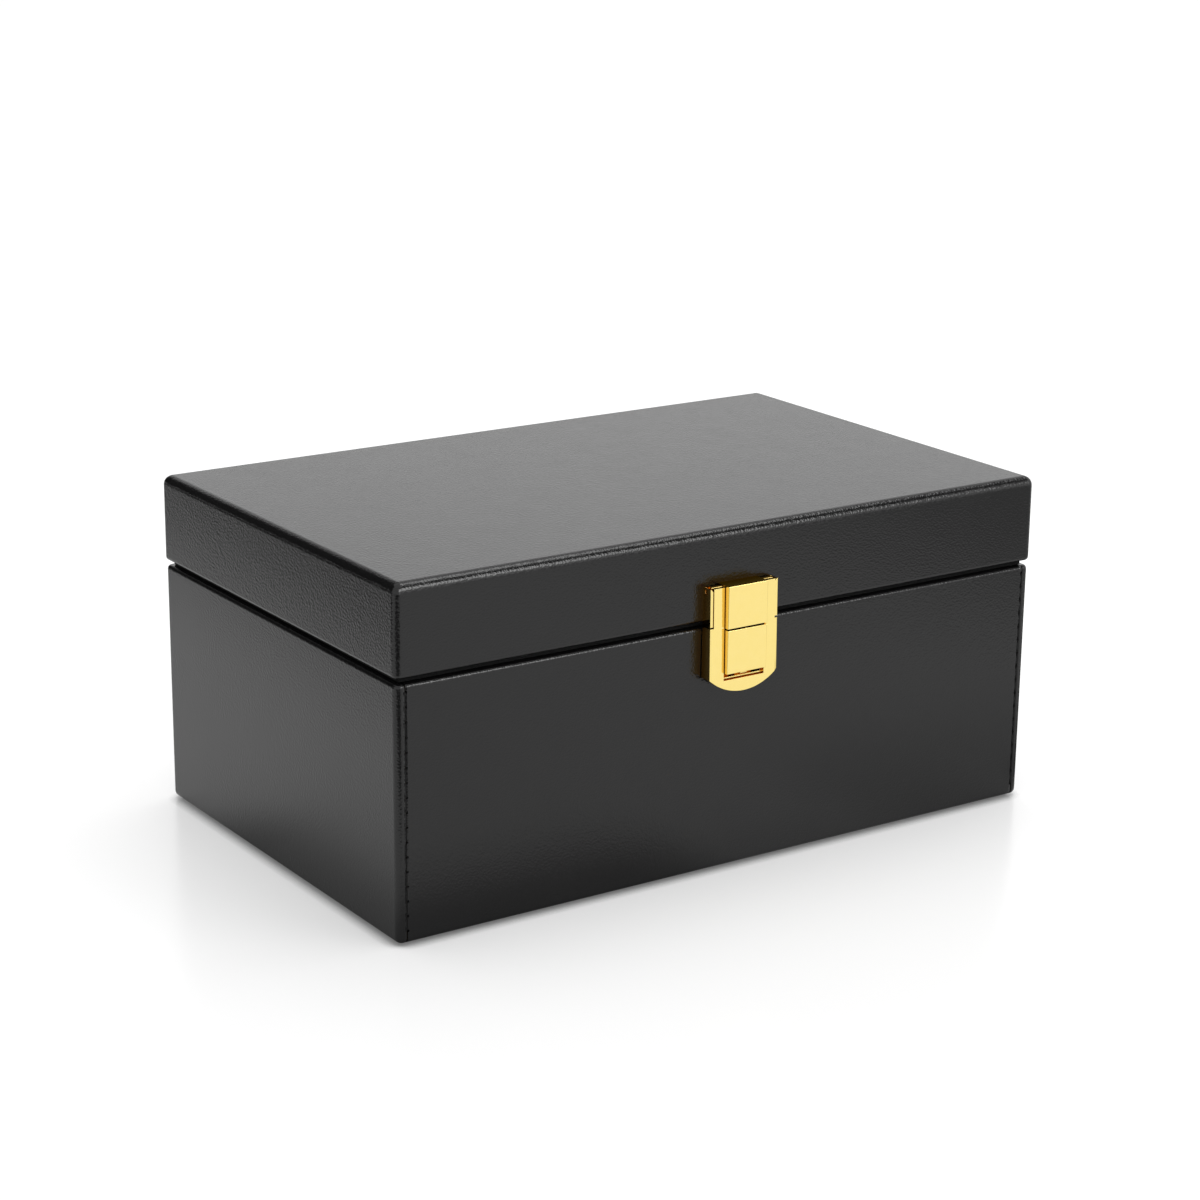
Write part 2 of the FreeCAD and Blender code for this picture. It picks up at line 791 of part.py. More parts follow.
# The latch: three castings and a pin
def front_pad(body, name, x_span, z_span, depths):
    """Pad a rectangle drawn on the front, from one distance in front of the middle to another."""
    sketch = rectangle(body, name, "XZ_Plane", depths[0], x_span, z_span)
    return pad(body, sketch, f"({depths[1]}) - ({depths[0]})")


def side_pad(body, name, start, width, corners):
    """Pad an outline drawn from the side, starting at a distance right of the middle."""
    sketch = outline(body, name, "YZ_Plane", start, corners)
    return pad(body, sketch, width)


def bore_through(body, name, radius):
    """Drill the latch pin's bore right across a casting."""
    sketch = circle(body, name, "YZ_Plane", "0", "pin_y", "pin_z", radius)
    return pocket(body, sketch, f"latch_width + {CUT_MARGIN}", both_ways=True)


def side_box(depth_span, z_span):
    """Return the corners of a rectangle seen from the side, between distances in front."""
    near_y, far_y = (f"0 - ({depth})" for depth in depth_span)
    return [(far_y, z_span[0]), (near_y, z_span[0]), (near_y, z_span[1]), (far_y, z_span[1])]


def make_lid_casting(screws):
    """Make the casting on the lid: a flange, two cheeks that hold the pin, and the upper block."""
    body = new_body("lid_casting")
    face = "lid_half_depth"
    front_pad(body, "lid_flange", middle_span("half_latch"), ("lid_flange_bottom", "latch_top"),
              (face, f"{face} + flange_thickness"))
    cheek = side_pad(body, "cheek", "cheek_inner", "cheek_thickness", [
        (f"0 - ({face})", "cheek_bottom"),
        (f"0 - ({face})", "latch_top"),
        ("cheek_setback - top_front", "latch_top"),
        ("cheek_setback - top_front - front_slope * (latch_top - cheek_bottom)", "cheek_bottom"),
    ])
    mirror(body, [cheek])
    front_pad(body, "upper_block", middle_span("half_block"), ("lid_block_bottom", "lid_block_top"),
              (face, "block_front"))
    slot = rectangle(body, "barrel_slot", "XZ_Plane", face, ("half_block", "cheek_inner"),
                     ("pin_z - barrel_radius - barrel_relief", f"latch_top + {CUT_MARGIN}"))
    slot_cut = pocket(body, slot, "flange_thickness", along_normal=True)
    mirror(body, [slot_cut])
    notch_cheeks(body)
    round_block(body, "lid_block_bottom", "lid_block_top")
    bore_through(body, "lid_casting_bore", "pin_radius")
    return cut("latch_lid_casting", body, screws["lid_latch"])


def front_bevel(body, name):
    """Bevel the right-hand edge of the latch's leaning front, all the way up."""
    bevel = outline(body, name, "XY_Plane", "hasp_foot", [
        ("half_latch - bevel_width", "0 - foot_front"),
        ("half_latch", "bevel_depth - foot_front"),
        ("half_latch", "0 - block_front"),
        ("half_latch - bevel_width", "0 - block_front"),
    ])
    height = f"latch_top - hasp_foot + {CUT_MARGIN}"
    return pocket(body, bevel, height, lean=("0", "front_slope", "1"))


def notch_cheeks(body):
    """Cut each cheek's corner beside the arm's top."""
    notch = outline(body, "cheek_notch_corner", "XZ_Plane", "lid_half_depth + flange_thickness", [
        ("cheek_inner", "latch_top - cheek_notch"),
        ("cheek_inner + cheek_notch", "latch_top"),
        ("cheek_inner", "latch_top"),
    ])
    notch_cut = pocket(body, notch, "block_depth", along_normal=True)
    mirror(body, [notch_cut])


def round_block(body, bottom, top):
    """Round the front edges of a centre block."""
    front = -value_of("block_front")
    half = value_of("half_block")
    low, high = value_of(bottom), value_of(top)

    def wanted(box):
        on_front = near(box.YMin, front) and near(box.YMax, front)
        upright = near(box.ZMin, low) and near(box.ZMax, high) and near(abs(box.XMin), half)
        level = near(box.ZMin, box.ZMax) and near(box.XMin, -half) and near(box.XMax, half)
        return on_front and (upright or level)

    fillet(body, "block_edges", edges_where(body, wanted), "block_edge")


def make_keeper(screws):
    """Make the casting on the base: a flange with a tail, the lower block and the catch."""
    body = new_body("keeper")
    face = "half_depth"
    front_pad(body, "keeper_flange", middle_span("half_keeper_flange"),
              ("keeper_bottom", "keeper_flange_top"), (face, f"{face} + flange_thickness"))
    front_pad(body, "keeper_tail_plate", middle_span("half_block"),
              ("keeper_bottom - keeper_tail", "keeper_flange_top"),
              (face, f"{face} + flange_thickness"))
    front_pad(body, "lower_block", middle_span("half_block"), ("keeper_bottom", "keeper_top"),
              (face, "block_front"))
    round_block(body, "keeper_bottom", "keeper_top")
    catch = circle(body, "catch", "YZ_Plane", "0", "0 - half_depth - catch_standoff",
                   "catch_foot + catch_radius", "catch_radius")
    pad(body, catch, "catch_width", both_ways=True)
    return cut("latch_keeper", body, screws["keeper"])


def make_hasp():
    """Make the hasp: two arms with barrels, a crossbar with a sill, skirts and a finger tab."""
    body = new_body("hasp")
    tab_arc = "(half_latch ^ 2 + tab_height ^ 2) / (2 * tab_height)"
    back = "top_front - hasp_thickness"
    frame = outline(body, "hasp_frame", "XZ_Plane", back, [
        ("0 - half_latch", "side_foot", tab_arc),
        ("half_latch", "side_foot"),
        ("half_latch", "skirt_top"),
        ("arm_outer", "skirt_top"),
        ("arm_outer", "latch_top"),
        ("half_window", "latch_top"),
        ("half_window", "window_floor"),
        ("0 - half_window", "window_floor"),
        ("0 - half_window", "latch_top"),
        ("0 - arm_outer", "latch_top"),
        ("0 - arm_outer", "skirt_top"),
        ("0 - half_latch", "skirt_top"),
    ])
    pad(body, frame, f"foot_front - ({back})")
    slope = outline(body, "front_slope", "YZ_Plane", "0", [
        ("0 - foot_front", "hasp_foot"),
        ("0 - top_front", "latch_top"),
        ("0 - foot_front", "latch_top"),
    ])
    pocket(body, slope, f"latch_width + {CUT_MARGIN}", both_ways=True)
    bevel_cut = front_bevel(body, "hasp_bevel")
    mirror(body, [bevel_cut])
    skirt = side_pad(body, "skirt", "cheek_inner", "cheek_thickness",
                     side_box(("half_depth + skirt_standoff", "top_front - bevel_depth"),
                              ("side_foot", "skirt_top")))
    barrel = circle(body, "barrel", "YZ_Plane", "half_window", "pin_y", "pin_z", "barrel_radius")
    barrel_pad = pad(body, barrel, "arm_outer - half_window")
    mirror(body, [skirt, barrel_pad])
    front_pad(body, "shelf", middle_span("half_window"), ("side_foot - tab_root", "window_floor"),
              ("half_depth + shelf_standoff", "foot_front - tab_thickness"))
    sill = outline(body, "sill", "YZ_Plane", "0", [
        (f"0 - foot_front - {CUT_MARGIN}", "window_floor - sill_height"),
        ("sill_lip - foot_front", "window_floor - sill_height"),
        ("sill_lip - foot_front", "window_floor - sill_height - sill_trench"),
        ("sill_recess - foot_front", "window_floor - sill_height - sill_trench"),
        ("sill_recess - foot_front", "window_floor"),
        (f"0 - foot_front - {CUT_MARGIN}", "window_floor"),
    ])
    pocket(body, sill, "2 * half_window", both_ways=True)
    recess = rectangle(body, "finger_recess", "XZ_Plane", back, middle_span("half_latch"),
                       (f"hasp_foot - {CUT_MARGIN}", "side_foot - tab_root"))
    pocket(body, recess, f"foot_front - ({back}) - tab_thickness", along_normal=True)
    bore_through(body, "hasp_bore", "pin_radius + running_clearance")
    return body


def make_latch(screws):
    """Make the latch's pieces for the base, the lid and the hasp."""
    pin = cylinder("hasp_pin", (1, 0, 0), ("pin_inset - half_latch", "pin_y", "pin_z"),
                   "pin_radius", "latch_width - 2 * pin_inset")
    return {
        "latch_keeper": make_keeper(screws),
        "latch_lid_casting": make_lid_casting(screws),
        "latch_pin": pin,
        "latch_hasp": make_hasp(),
    }


# Build, check and write
def check(parts):
    """Stop at any failed object, or any sub-part without a valid solid."""
    for item in doc.Objects:
        if "Invalid" in item.State or "Error" in item.State:
            raise RuntimeError(f"{item.Name} failed: {item.State}")
    for name, item in parts.items():
        if item.Shape.isNull() or not item.Shape.isValid() or not item.Shape.Solids:
            raise RuntimeError(f"{name} has no valid solid")


def write(parts):
    """Write each sub-part to its own file."""
    os.makedirs("parts", exist_ok=True)
    for name, item in parts.items():
        item.Shape.exportStep(f"parts/{name}.step")


def main():
    """Build the whole box."""
    screws = make_screws()
    doc.recompute()
    parts = make_base(screws)
    parts.update(make_lid(screws))
    hinge_base, hinge_lid = make_hinges(screws)
    parts.update(hinge_base)
    parts.update(hinge_lid)
    parts.update(make_latch(screws))
    parts["base_hinge_screws"] = screws["base_hinge"]
    parts["lid_hinge_screws"] = screws["lid_hinge"]
    parts["lid_latch_screws"] = screws["lid_latch"]
    parts["keeper_screws"] = screws["keeper"]
    for name, item in parts.items():
        item.Label = name
    doc.recompute()
    check(parts)
    write(parts)
    print(len(parts), "sub-parts written")


make_sheet()
GAUGE = make_gauge()
main()
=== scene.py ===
"""Looks of the shielding box: a wrapped, lidded box with a stitched front and a gilt hasp latch.

Metres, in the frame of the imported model: the origin is under the middle of the base, -Y is the
front with the latch and +Y the back with the hinges.
"""
import json
import math
import random

import bmesh
import bpy
from mathutils import Matrix, Vector, noise


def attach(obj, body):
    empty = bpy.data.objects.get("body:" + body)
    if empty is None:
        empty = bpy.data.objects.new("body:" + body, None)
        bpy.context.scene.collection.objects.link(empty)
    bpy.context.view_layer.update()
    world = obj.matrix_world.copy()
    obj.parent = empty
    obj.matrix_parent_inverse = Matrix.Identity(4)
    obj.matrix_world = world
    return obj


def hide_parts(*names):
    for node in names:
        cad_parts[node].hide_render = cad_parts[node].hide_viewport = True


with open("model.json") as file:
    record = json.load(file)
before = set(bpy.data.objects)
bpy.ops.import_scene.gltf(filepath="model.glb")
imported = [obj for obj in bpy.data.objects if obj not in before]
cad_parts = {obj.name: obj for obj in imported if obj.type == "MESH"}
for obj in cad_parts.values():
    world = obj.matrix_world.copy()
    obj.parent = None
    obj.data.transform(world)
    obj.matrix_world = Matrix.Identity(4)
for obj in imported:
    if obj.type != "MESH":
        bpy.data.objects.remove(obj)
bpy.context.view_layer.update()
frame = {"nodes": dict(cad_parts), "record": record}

MM = 0.001
NODES = frame["nodes"]

# The photograph's view. The focal length is a share of the sensor's width
CAMERA_PLACE = Vector((-509.0, -755.2, 340.0)) * MM
CAMERA_AZIMUTH = math.radians(34.0)
CAMERA_ELEVATION = math.radians(16.6)
CAMERA_ROLL = math.radians(0.61)
SENSOR_WIDTH = 36.0
FOCAL_SHARE = 2.409
CLIP_START, CLIP_END = 0.01, 50.0


def make_camera():
    """Look at the box from the photograph's side."""
    sight = Vector((
        math.sin(CAMERA_AZIMUTH) * math.cos(CAMERA_ELEVATION),
        math.cos(CAMERA_AZIMUTH) * math.cos(CAMERA_ELEVATION),
        -math.sin(CAMERA_ELEVATION),
    ))
    level = sight.cross(Vector((0, 0, 1))).normalized()
    above = level.cross(sight)
    right = level * math.cos(CAMERA_ROLL) + above * math.sin(CAMERA_ROLL)
    up = above * math.cos(CAMERA_ROLL) - level * math.sin(CAMERA_ROLL)
    data = bpy.data.cameras.new("camera")
    data.sensor_width = SENSOR_WIDTH
    data.lens = SENSOR_WIDTH * FOCAL_SHARE
    data.clip_start = CLIP_START
    data.clip_end = CLIP_END
    camera = bpy.data.objects.new("camera", data)
    turn = Matrix((right, up, -sight)).transposed()
    camera.matrix_world = Matrix.Translation(CAMERA_PLACE) @ turn.to_4x4()
    bpy.context.scene.collection.objects.link(camera)
    bpy.context.scene.camera = camera


# Node trees
FACING_SHARE = 0.6
OCCLUSION_SAMPLES = 8


def grey(value):
    """Return a neutral colour."""
    return (value, value, value, 1)


class Graph:
    """A node tree, with short calls to add and join nodes."""

    def __init__(self, tree):
        self.tree = tree

    def add(self, kind, sockets=None, **settings):
        """Add a node, set its properties and its sockets' values or links."""
        node = self.tree.nodes.new(kind)
        for key, value in settings.items():
            setattr(node, key, value)
        for key, value in (sockets or {}).items():
            self.give(node.inputs[key], value)
        return node

    def give(self, socket, value):
        """Link an output to a socket, or set the socket's value."""
        if isinstance(value, bpy.types.NodeSocket):
            self.tree.links.new(value, socket)
        else:
            socket.default_value = value

    def math(self, operation, *values):
        """Add a Math node and return its output."""
        node = self.add("ShaderNodeMath", operation=operation)
        for socket, value in zip(node.inputs, values):
            self.give(socket, value)
        return node.outputs[0]

    def split(self, vector):
        """Return a vector's three parts."""
        return self.add("ShaderNodeSeparateXYZ", {"Vector": vector}).outputs

    def span(self, value, low, high, into_low=0.0, into_high=1.0, smooth=False):
        """Carry a range of values onto another, and hold the ends."""
        node = self.add("ShaderNodeMapRange", {
            "Value": value, "From Min": low, "From Max": high,
            "To Min": into_low, "To Max": into_high,
        }, interpolation_type="SMOOTHSTEP" if smooth else "LINEAR")
        return node.outputs[0]

    def between(self, value, low, high, soft):
        """Return 1 between two values and 0 beyond them, with soft sides."""
        rise = self.span(value, low - soft, low + soft, smooth=True)
        fall = self.span(value, high - soft, high + soft, 1.0, 0.0, smooth=True)
        return self.math("MULTIPLY", rise, fall)

    def openness(self, reach):
        """Return 1 where nothing is within reach of the surface, and less in a corner."""
        node = self.add("ShaderNodeAmbientOcclusion", {"Distance": reach},
                        samples=OCCLUSION_SAMPLES)
        return node.outputs["AO"]

    def blend(self, share, first, second):
        """Mix two numbers."""
        node = self.add("ShaderNodeMix", data_type="FLOAT")
        for number, value in ((0, share), (2, first), (3, second)):
            self.give(node.inputs[number], value)
        return node.outputs[0]

    def mix(self, share, first, second):
        """Mix two colours."""
        node = self.add("ShaderNodeMix", data_type="RGBA")
        for number, value in ((0, share), (6, first), (7, second)):
            self.give(node.inputs[number], value)
        return node.outputs[2]


class Finish(Graph):
    """A material with one Principled shader."""

    def __init__(self, name):
        self.material = bpy.data.materials.new(name)
        self.material.use_nodes = True
        super().__init__(self.material.node_tree)
        self.tree.nodes.clear()
        self.shader = self.add("ShaderNodeBsdfPrincipled")
        self.output = self.add("ShaderNodeOutputMaterial", {"Surface": self.shader.outputs[0]})
        coordinates = self.add("ShaderNodeTexCoord").outputs
        self.place, self.normal = coordinates["Object"], coordinates["Normal"]

    def set(self, **values):
        """Set or link the shader's sockets, whose spaces are written as underscores."""
        names = {socket.name.lower().replace(" ", "_"): socket for socket in self.shader.inputs}
        for key, value in values.items():
            self.give(names[key], value)

    def noise(self, size, detail=2.0, roughness=0.5, stretch=None):
        """Return noise from 0 to 1 whose features are about that many metres across."""
        place = self.place
        if stretch:
            sockets = {"Vector": self.place, "Scale": stretch}
            place = self.add("ShaderNodeMapping", sockets).outputs[0]
        sockets = {"Vector": place, "Scale": 1 / size, "Detail": detail, "Roughness": roughness}
        return self.add("ShaderNodeTexNoise", sockets).outputs["Fac"]

    def spread(self, noise_value, low, high):
        """Carry noise, nearly all of which lies between 0.3 and 0.7, onto a range of values."""
        return self.span(noise_value, 0.3, 0.7, low, high)

    def cells(self, size, smooth=None):
        """Return the distance inside cells that are about that many metres across."""
        feature = "F1" if smooth is None else "SMOOTH_F1"
        node = self.add("ShaderNodeTexVoronoi", feature=feature)
        self.give(node.inputs["Vector"], self.place)
        self.give(node.inputs["Scale"], 1 / size)
        if smooth is not None:
            self.give(node.inputs["Smoothness"], smooth)
        return node.outputs["Distance"]

    def relief(self, *layers):
        """Lay bumps over one another, each a height from 0 to 1 and its depth in metres."""
        normal = None
        for height, depth in layers:
            sockets = {"Height": height, "Distance": depth, "Strength": 1.0}
            if normal is not None:
                sockets["Normal"] = normal
            normal = self.add("ShaderNodeBump", sockets).outputs[0]
        return normal

    def woven(self, pitch):
        """Return the height, from 0 to 1, of a plain weave on each face's own plane."""
        x, y, z = self.split(self.place)
        total = 0.0
        for part, (first, second) in zip(self.split(self.normal), ((y, z), (x, z), (x, y))):
            facing = self.math("GREATER_THAN", self.math("ABSOLUTE", part), FACING_SHARE)
            warp = self.math("SINE", self.math("MULTIPLY", first, math.pi / pitch))
            weft = self.math("SINE", self.math("MULTIPLY", second, math.pi / pitch))
            height = self.math("MULTIPLY", warp, weft)
            total = self.math("MULTIPLY_ADD", height, facing, total)
        return self.math("MULTIPLY_ADD", total, 0.5, 0.5)


# Finishes. The places that some of them depend on are in millimetres: the front's two seams,
# planes just behind the base's front and over its rim, and the depths of the latch's sides, over
# which their painted shade deepens
SEAM_X = 117.0
SEAM_FALL = (0.15, 0.75)
BEHIND_FRONT = -74.0
OVER_BASE = 81.0
LATCH_FRONT, LATCH_BACK = -81.5, -76.0
LATCH_GAP_REACH = 1.6
THREAD_TWIST = 0.5


def beside_seams(graph):
    """Return 0 where the wraps turn in at the front's seams, and 1 everywhere else."""
    x, y, z = graph.split(graph.place)
    from_seam = graph.math("SUBTRACT", graph.math("ABSOLUTE", x), SEAM_X * MM)
    near, far = (distance * MM for distance in SEAM_FALL)
    level = graph.span(graph.math("ABSOLUTE", from_seam), near, far, smooth=True)
    on_front = graph.math("LESS_THAN", y, BEHIND_FRONT * MM)
    on_base = graph.math("LESS_THAN", z, OVER_BASE * MM)
    elsewhere = graph.math("SUBTRACT", 1.0, graph.math("MULTIPLY", on_front, on_base))
    return graph.math("MAXIMUM", level, elsewhere)


def leatherette():
    """Black coated leatherette: a fine pebble grain in a satin, slightly uneven coat."""
    graph = Finish("black_leatherette")
    swell = graph.noise(38 * MM, 1.0)
    dents = graph.noise(3.2 * MM, 2.0)
    pebbles = graph.cells(0.62 * MM, smooth=0.55)
    pores = graph.noise(0.22 * MM, 2.0)
    patches = graph.noise(9 * MM, 3.0)
    graph.set(
        base_color=graph.mix(patches, (0.0046, 0.0046, 0.0049, 1), (0.0074, 0.0073, 0.0073, 1)),
        roughness=graph.spread(patches, 0.15, 0.18),
        ior=1.45,
        normal=graph.relief((beside_seams(graph), 0.22 * MM), (swell, 0.04 * MM),
                            (dents, 0.005 * MM), (pebbles, 0.06 * MM), (pores, 0.003 * MM)),
    )
    return graph.material


def gilt():
    """Pale gilt plating on a polished casting; shade painted brown on its sides and in its gaps.
    """
    graph = Finish("gilt")
    smear = graph.noise(2.4 * MM, 3.0)
    # Painted shade: the plating is painted orange-brown where other parts come close, in the
    # latch's gaps
    painted_gap_shade = graph.span(graph.openness(LATCH_GAP_REACH * MM), 0.35, 0.8, 1.0, 0.0)
    # Painted shade: faces that look sideways are painted dark brown, more so towards the back
    facing_front = graph.math("ABSOLUTE", graph.split(graph.normal)["Y"])
    painted_side_shade = graph.span(facing_front, 0.35, 0.75, 1.0, 0.0)
    depth = graph.span(graph.split(graph.place)["Y"], LATCH_FRONT * MM, LATCH_BACK * MM,
                       0.25, 0.95)
    plating = graph.mix(smear, (0.97, 0.765, 0.255, 1), (1.0, 0.805, 0.305, 1))
    plating = graph.mix(graph.math("MULTIPLY", painted_side_shade, depth), plating, (0.34, 0.14, 0.02, 1))
    graph.set(
        base_color=graph.mix(painted_gap_shade, plating, (0.72, 0.40, 0.09, 1)),
        metallic=1.0,
        roughness=graph.spread(smear, 0.08, 0.13),
        specular_tint=(1.0, 0.75, 0.35, 1),
        normal=graph.relief((graph.noise(1.1 * MM, 1.0), 0.003 * MM)),
    )
    return graph.material


def brass(name, roughness):
    """Brass plating over stamped or turned steel, with fine drawing marks."""
    graph = Finish(name)
    marks = graph.noise(0.5 * MM, 3.0, 0.6, stretch=(0.12, 1.0, 1.0))
    tarnish = graph.noise(2.8 * MM, 3.0)
    graph.set(
        base_color=graph.mix(tarnish, (0.78, 0.55, 0.22, 1), (0.90, 0.69, 0.33, 1)),
        metallic=1.0,
        roughness=graph.spread(marks, roughness, roughness + 0.12),
        specular_tint=(1.0, 0.82, 0.5, 1),
        normal=graph.relief((marks, 0.004 * MM)),
    )
    return graph.material


def shield_cloth():
    """Metallised cloth: a fine plain weave with a heavier yarn every few millimetres."""
    graph = Finish("shield_cloth")
    weave = graph.woven(0.42 * MM)
    from_rib = graph.math("ABSOLUTE", graph.math("SUBTRACT", graph.woven(5.0 * MM), 0.5))
    ribs = graph.span(from_rib, 0.0, 0.05, 1.0, 0.0)
    wear = graph.noise(14 * MM, 3.0)
    slub = graph.noise(1.6 * MM, 2.0, stretch=(1.0, 1.0, 0.3))
    shade = graph.math("MULTIPLY_ADD", weave, 0.5, graph.math("MULTIPLY", slub, 0.5))
    graph.set(
        base_color=graph.mix(shade, (0.24, 0.24, 0.25, 1), (0.52, 0.52, 0.54, 1)),
        metallic=0.65,
        roughness=graph.spread(wear, 0.40, 0.52),
        normal=graph.relief((weave, 0.06 * MM), (ribs, 0.05 * MM), (wear, 0.4 * MM)),
    )
    return graph.material


def pile_cloth():
    """Charcoal short-pile cloth over foam."""
    graph = Finish("pile_cloth")
    brushed = graph.noise(18 * MM, 3.0)
    tufts = graph.cells(0.45 * MM)
    fuzz = graph.noise(0.3 * MM, 3.0, 0.7)
    shade = graph.math("MULTIPLY_ADD", brushed, 0.6, graph.math("MULTIPLY", tufts, 0.6))
    graph.set(
        base_color=graph.mix(shade, (0.016, 0.016, 0.018, 1), (0.045, 0.045, 0.048, 1)),
        roughness=0.95,
        sheen_weight=0.35,
        sheen_roughness=0.5,
        normal=graph.relief((tufts, 0.12 * MM), (fuzz, 0.08 * MM)),
    )
    return graph.material


def foam():
    """Black open-celled foam."""
    graph = Finish("foam")
    pores = graph.cells(0.38 * MM)
    crumbs = graph.noise(1.6 * MM, 3.0)
    graph.set(
        base_color=graph.mix(graph.span(pores, 0.1, 0.5), grey(0.003), grey(0.016)),
        roughness=0.96,
        specular_ior_level=0.12,
        normal=graph.relief((pores, 0.16 * MM), (crumbs, 0.10 * MM)),
    )
    return graph.material


def felt():
    """Black pressed felt: short tangled fibres."""
    graph = Finish("felt")
    fibres = graph.noise(0.5 * MM, 4.0, 0.7, stretch=(0.25, 1.0, 1.0))
    crossing = graph.noise(0.5 * MM, 4.0, 0.7, stretch=(1.0, 0.25, 1.0))
    tangle = graph.math("MAXIMUM", fibres, crossing)
    clouds = graph.noise(7 * MM, 2.0)
    shade = graph.math("MULTIPLY", tangle, graph.span(clouds, 0.2, 0.8, 0.6, 1.1))
    graph.set(
        base_color=graph.mix(shade, (0.006, 0.006, 0.007, 1), (0.045, 0.045, 0.047, 1)),
        roughness=1.0,
        sheen_weight=0.25,
        sheen_roughness=0.6,
        normal=graph.relief((tangle, 0.18 * MM)),
    )
    return graph.material


def fibreboard():
    """Raw fibreboard: pressed brown fibres with darker specks."""
    graph = Finish("fibreboard")
    fibres = graph.noise(0.9 * MM, 4.0, 0.7, stretch=(0.3, 0.3, 1.0))
    specks = graph.span(graph.noise(0.6 * MM, 2.0), 0.62, 0.72)
    body = graph.mix(fibres, (0.20, 0.125, 0.065, 1), (0.40, 0.28, 0.165, 1))
    graph.set(
        base_color=graph.mix(specks, body, (0.09, 0.05, 0.03, 1)),
        roughness=0.85,
        normal=graph.relief((fibres, 0.06 * MM)),
    )
    return graph.material


def collar_card():
    """Matt black paper pasted over card."""
    graph = Finish("collar_card")
    fibres = graph.noise(0.7 * MM, 4.0, 0.65, stretch=(0.3, 0.3, 1.0))
    ripples = graph.noise(16 * MM, 2.0)
    graph.set(
        base_color=graph.mix(fibres, grey(0.008), (0.022, 0.022, 0.023, 1)),
        roughness=graph.span(fibres, 0.2, 0.8, 0.55, 0.75),
        normal=graph.relief((fibres, 0.03 * MM), (ripples, 0.10 * MM)),
    )
    return graph.material


def thread():
    """Black twisted sewing thread."""
    graph = Finish("thread")
    place = graph.split(graph.place)
    along = graph.math("ADD", place["Z"], place["X"])
    turns = graph.math("MULTIPLY", along, 2 * math.pi / (THREAD_TWIST * MM))
    plies = graph.math("MULTIPLY_ADD", graph.math("SINE", turns), 0.5, 0.5)
    graph.set(
        base_color=graph.mix(plies, grey(0.003), grey(0.010)),
        roughness=0.6,
        specular_ior_level=0.15,
        normal=graph.relief((plies, 0.04 * MM)),
    )
    return graph.material


def hole_dark():
    """Painted shade for the inside of a needle hole: near-black, mirroring nothing."""
    graph = Finish("hole_dark")
    graph.set(
        base_color=graph.mix(graph.noise(0.2 * MM), grey(0.0008), grey(0.002)),
        roughness=1.0,
        specular_ior_level=0.0,
    )
    return graph.material


# The studio, in metres. The floor lies a hair under the box and has a painted shadow close to it
FLOOR_SIZE = 12.0
FLOOR_HEIGHT = -0.02 * MM
FLOOR_COLOUR, FLOOR_LIFT = 0.80, 0.34
SHADOW_COLOUR, SHADOW_LIFT = 0.56, 0.11
SHADOW_REACH = 5.5 * MM
WORLD_LIGHT = 0.62
BOX_MIDDLE = Vector((0, 0, 0.05))

# What polished surfaces mirror of the room: the bearings it spans, in degrees from the front
# towards the right, and their softness; the sines of the elevations it spans, and their
# softness; and how bright it is there. Later rows lie over earlier ones
ROOM = [
    ((-180, 180), 1, (0.50, 0.74), 0.05, 0.85),
    ((95, 180), 5, (-0.30, 0.07), 0.02, 0.25),
    ((149, 190), 4, (0.44, 0.74), 0.04, 0.22),
    ((68, 112), 4, (0.81, 0.90), 0.02, 5.0),
    ((38, 65), 5, (0.61, 0.785), 0.025, 0.10),
    ((60, 113), 5, (0.60, 0.765), 0.02, 0.12),
    ((-4, 40), 3, (-0.02, 0.32), 0.06, 1.7),
    ((-4, 40), 3, (0.30, 0.64), 0.05, 7.0),
    ((120, 172), 6, (0.10, 0.42), 0.05, 1.02),
    ((-190, -118), 6, (-0.05, 0.76), 0.05, 0.03),
]

# What they mirror of the floor: its x span, its y span, their softness, and the share of its
# light that is lost there
FLAGS = [
    ((-0.50, -0.13), (-0.45, -0.18), 0.03, 0.95),
    ((0.13, 0.50), (-0.10, 0.45), 0.02, 0.92),
    ((-0.12, 0.50), (0.11, 0.55), 0.03, 0.80),
    ((-0.90, -0.246), (0.10, 0.90), 0.015, 0.60),
    ((-2.00, -0.345), (0.10, 2.00), 0.02, 0.97),
    ((-0.150, 0.0), (-0.12, 0.05), 0.03, 0.6),
    ((0.27, 0.90), (-0.90, -0.15), 0.09, 0.56),
    ((-0.15, 0.25), (-0.115, 0.0), 0.03, 0.20),
    ((0.05, 0.30), (-0.17, 0.0), 0.05, 0.34),
    ((-9.0, 9.0), (-9.0, 9.0), 0.03, 0.15),
]


def mirrored(graph, most):
    """Return 1 for mirrored rays that have met no more than that many surfaces."""
    path = graph.add("ShaderNodeLightPath")
    early = graph.math("LESS_THAN", path.outputs["Ray Depth"], most + 0.5)
    return graph.math("MULTIPLY", path.outputs["Is Glossy Ray"], early)


def background_shown(graph):
    """Return 1 for rays that show the background: seen, mirrored or through glass."""
    path = graph.add("ShaderNodeLightPath")
    total = path.outputs["Is Camera Ray"]
    for name in ("Is Glossy Ray", "Is Transmission Ray"):
        total = graph.math("MAXIMUM", total, path.outputs[name])
    return total


def make_world():
    """White for whatever shows it, soft boxes and flags for polish, and a plain light."""
    world = bpy.data.worlds.new("studio")
    bpy.context.scene.world = world
    world.use_nodes = True
    graph = Graph(world.node_tree)
    background = graph.tree.nodes["Background"]
    x, y, z = graph.split(graph.add("ShaderNodeTexCoord").outputs["Generated"])
    bearing = graph.math("DEGREES", graph.math("ARCTAN2", x, graph.math("MULTIPLY", y, -1.0)))
    room = 1.0
    for bearings, soft_bearing, heights, soft_height, radiance in ROOM:
        across = graph.between(bearing, *bearings, soft_bearing)
        up = graph.between(z, *heights, soft_height)
        room = graph.blend(graph.math("MULTIPLY", across, up), room, radiance)
    plain = graph.blend(background_shown(graph), WORLD_LIGHT, 1.0)
    graph.give(background.inputs["Color"], grey(1))
    graph.give(background.inputs["Strength"], graph.blend(mirrored(graph, 2), plain, room))


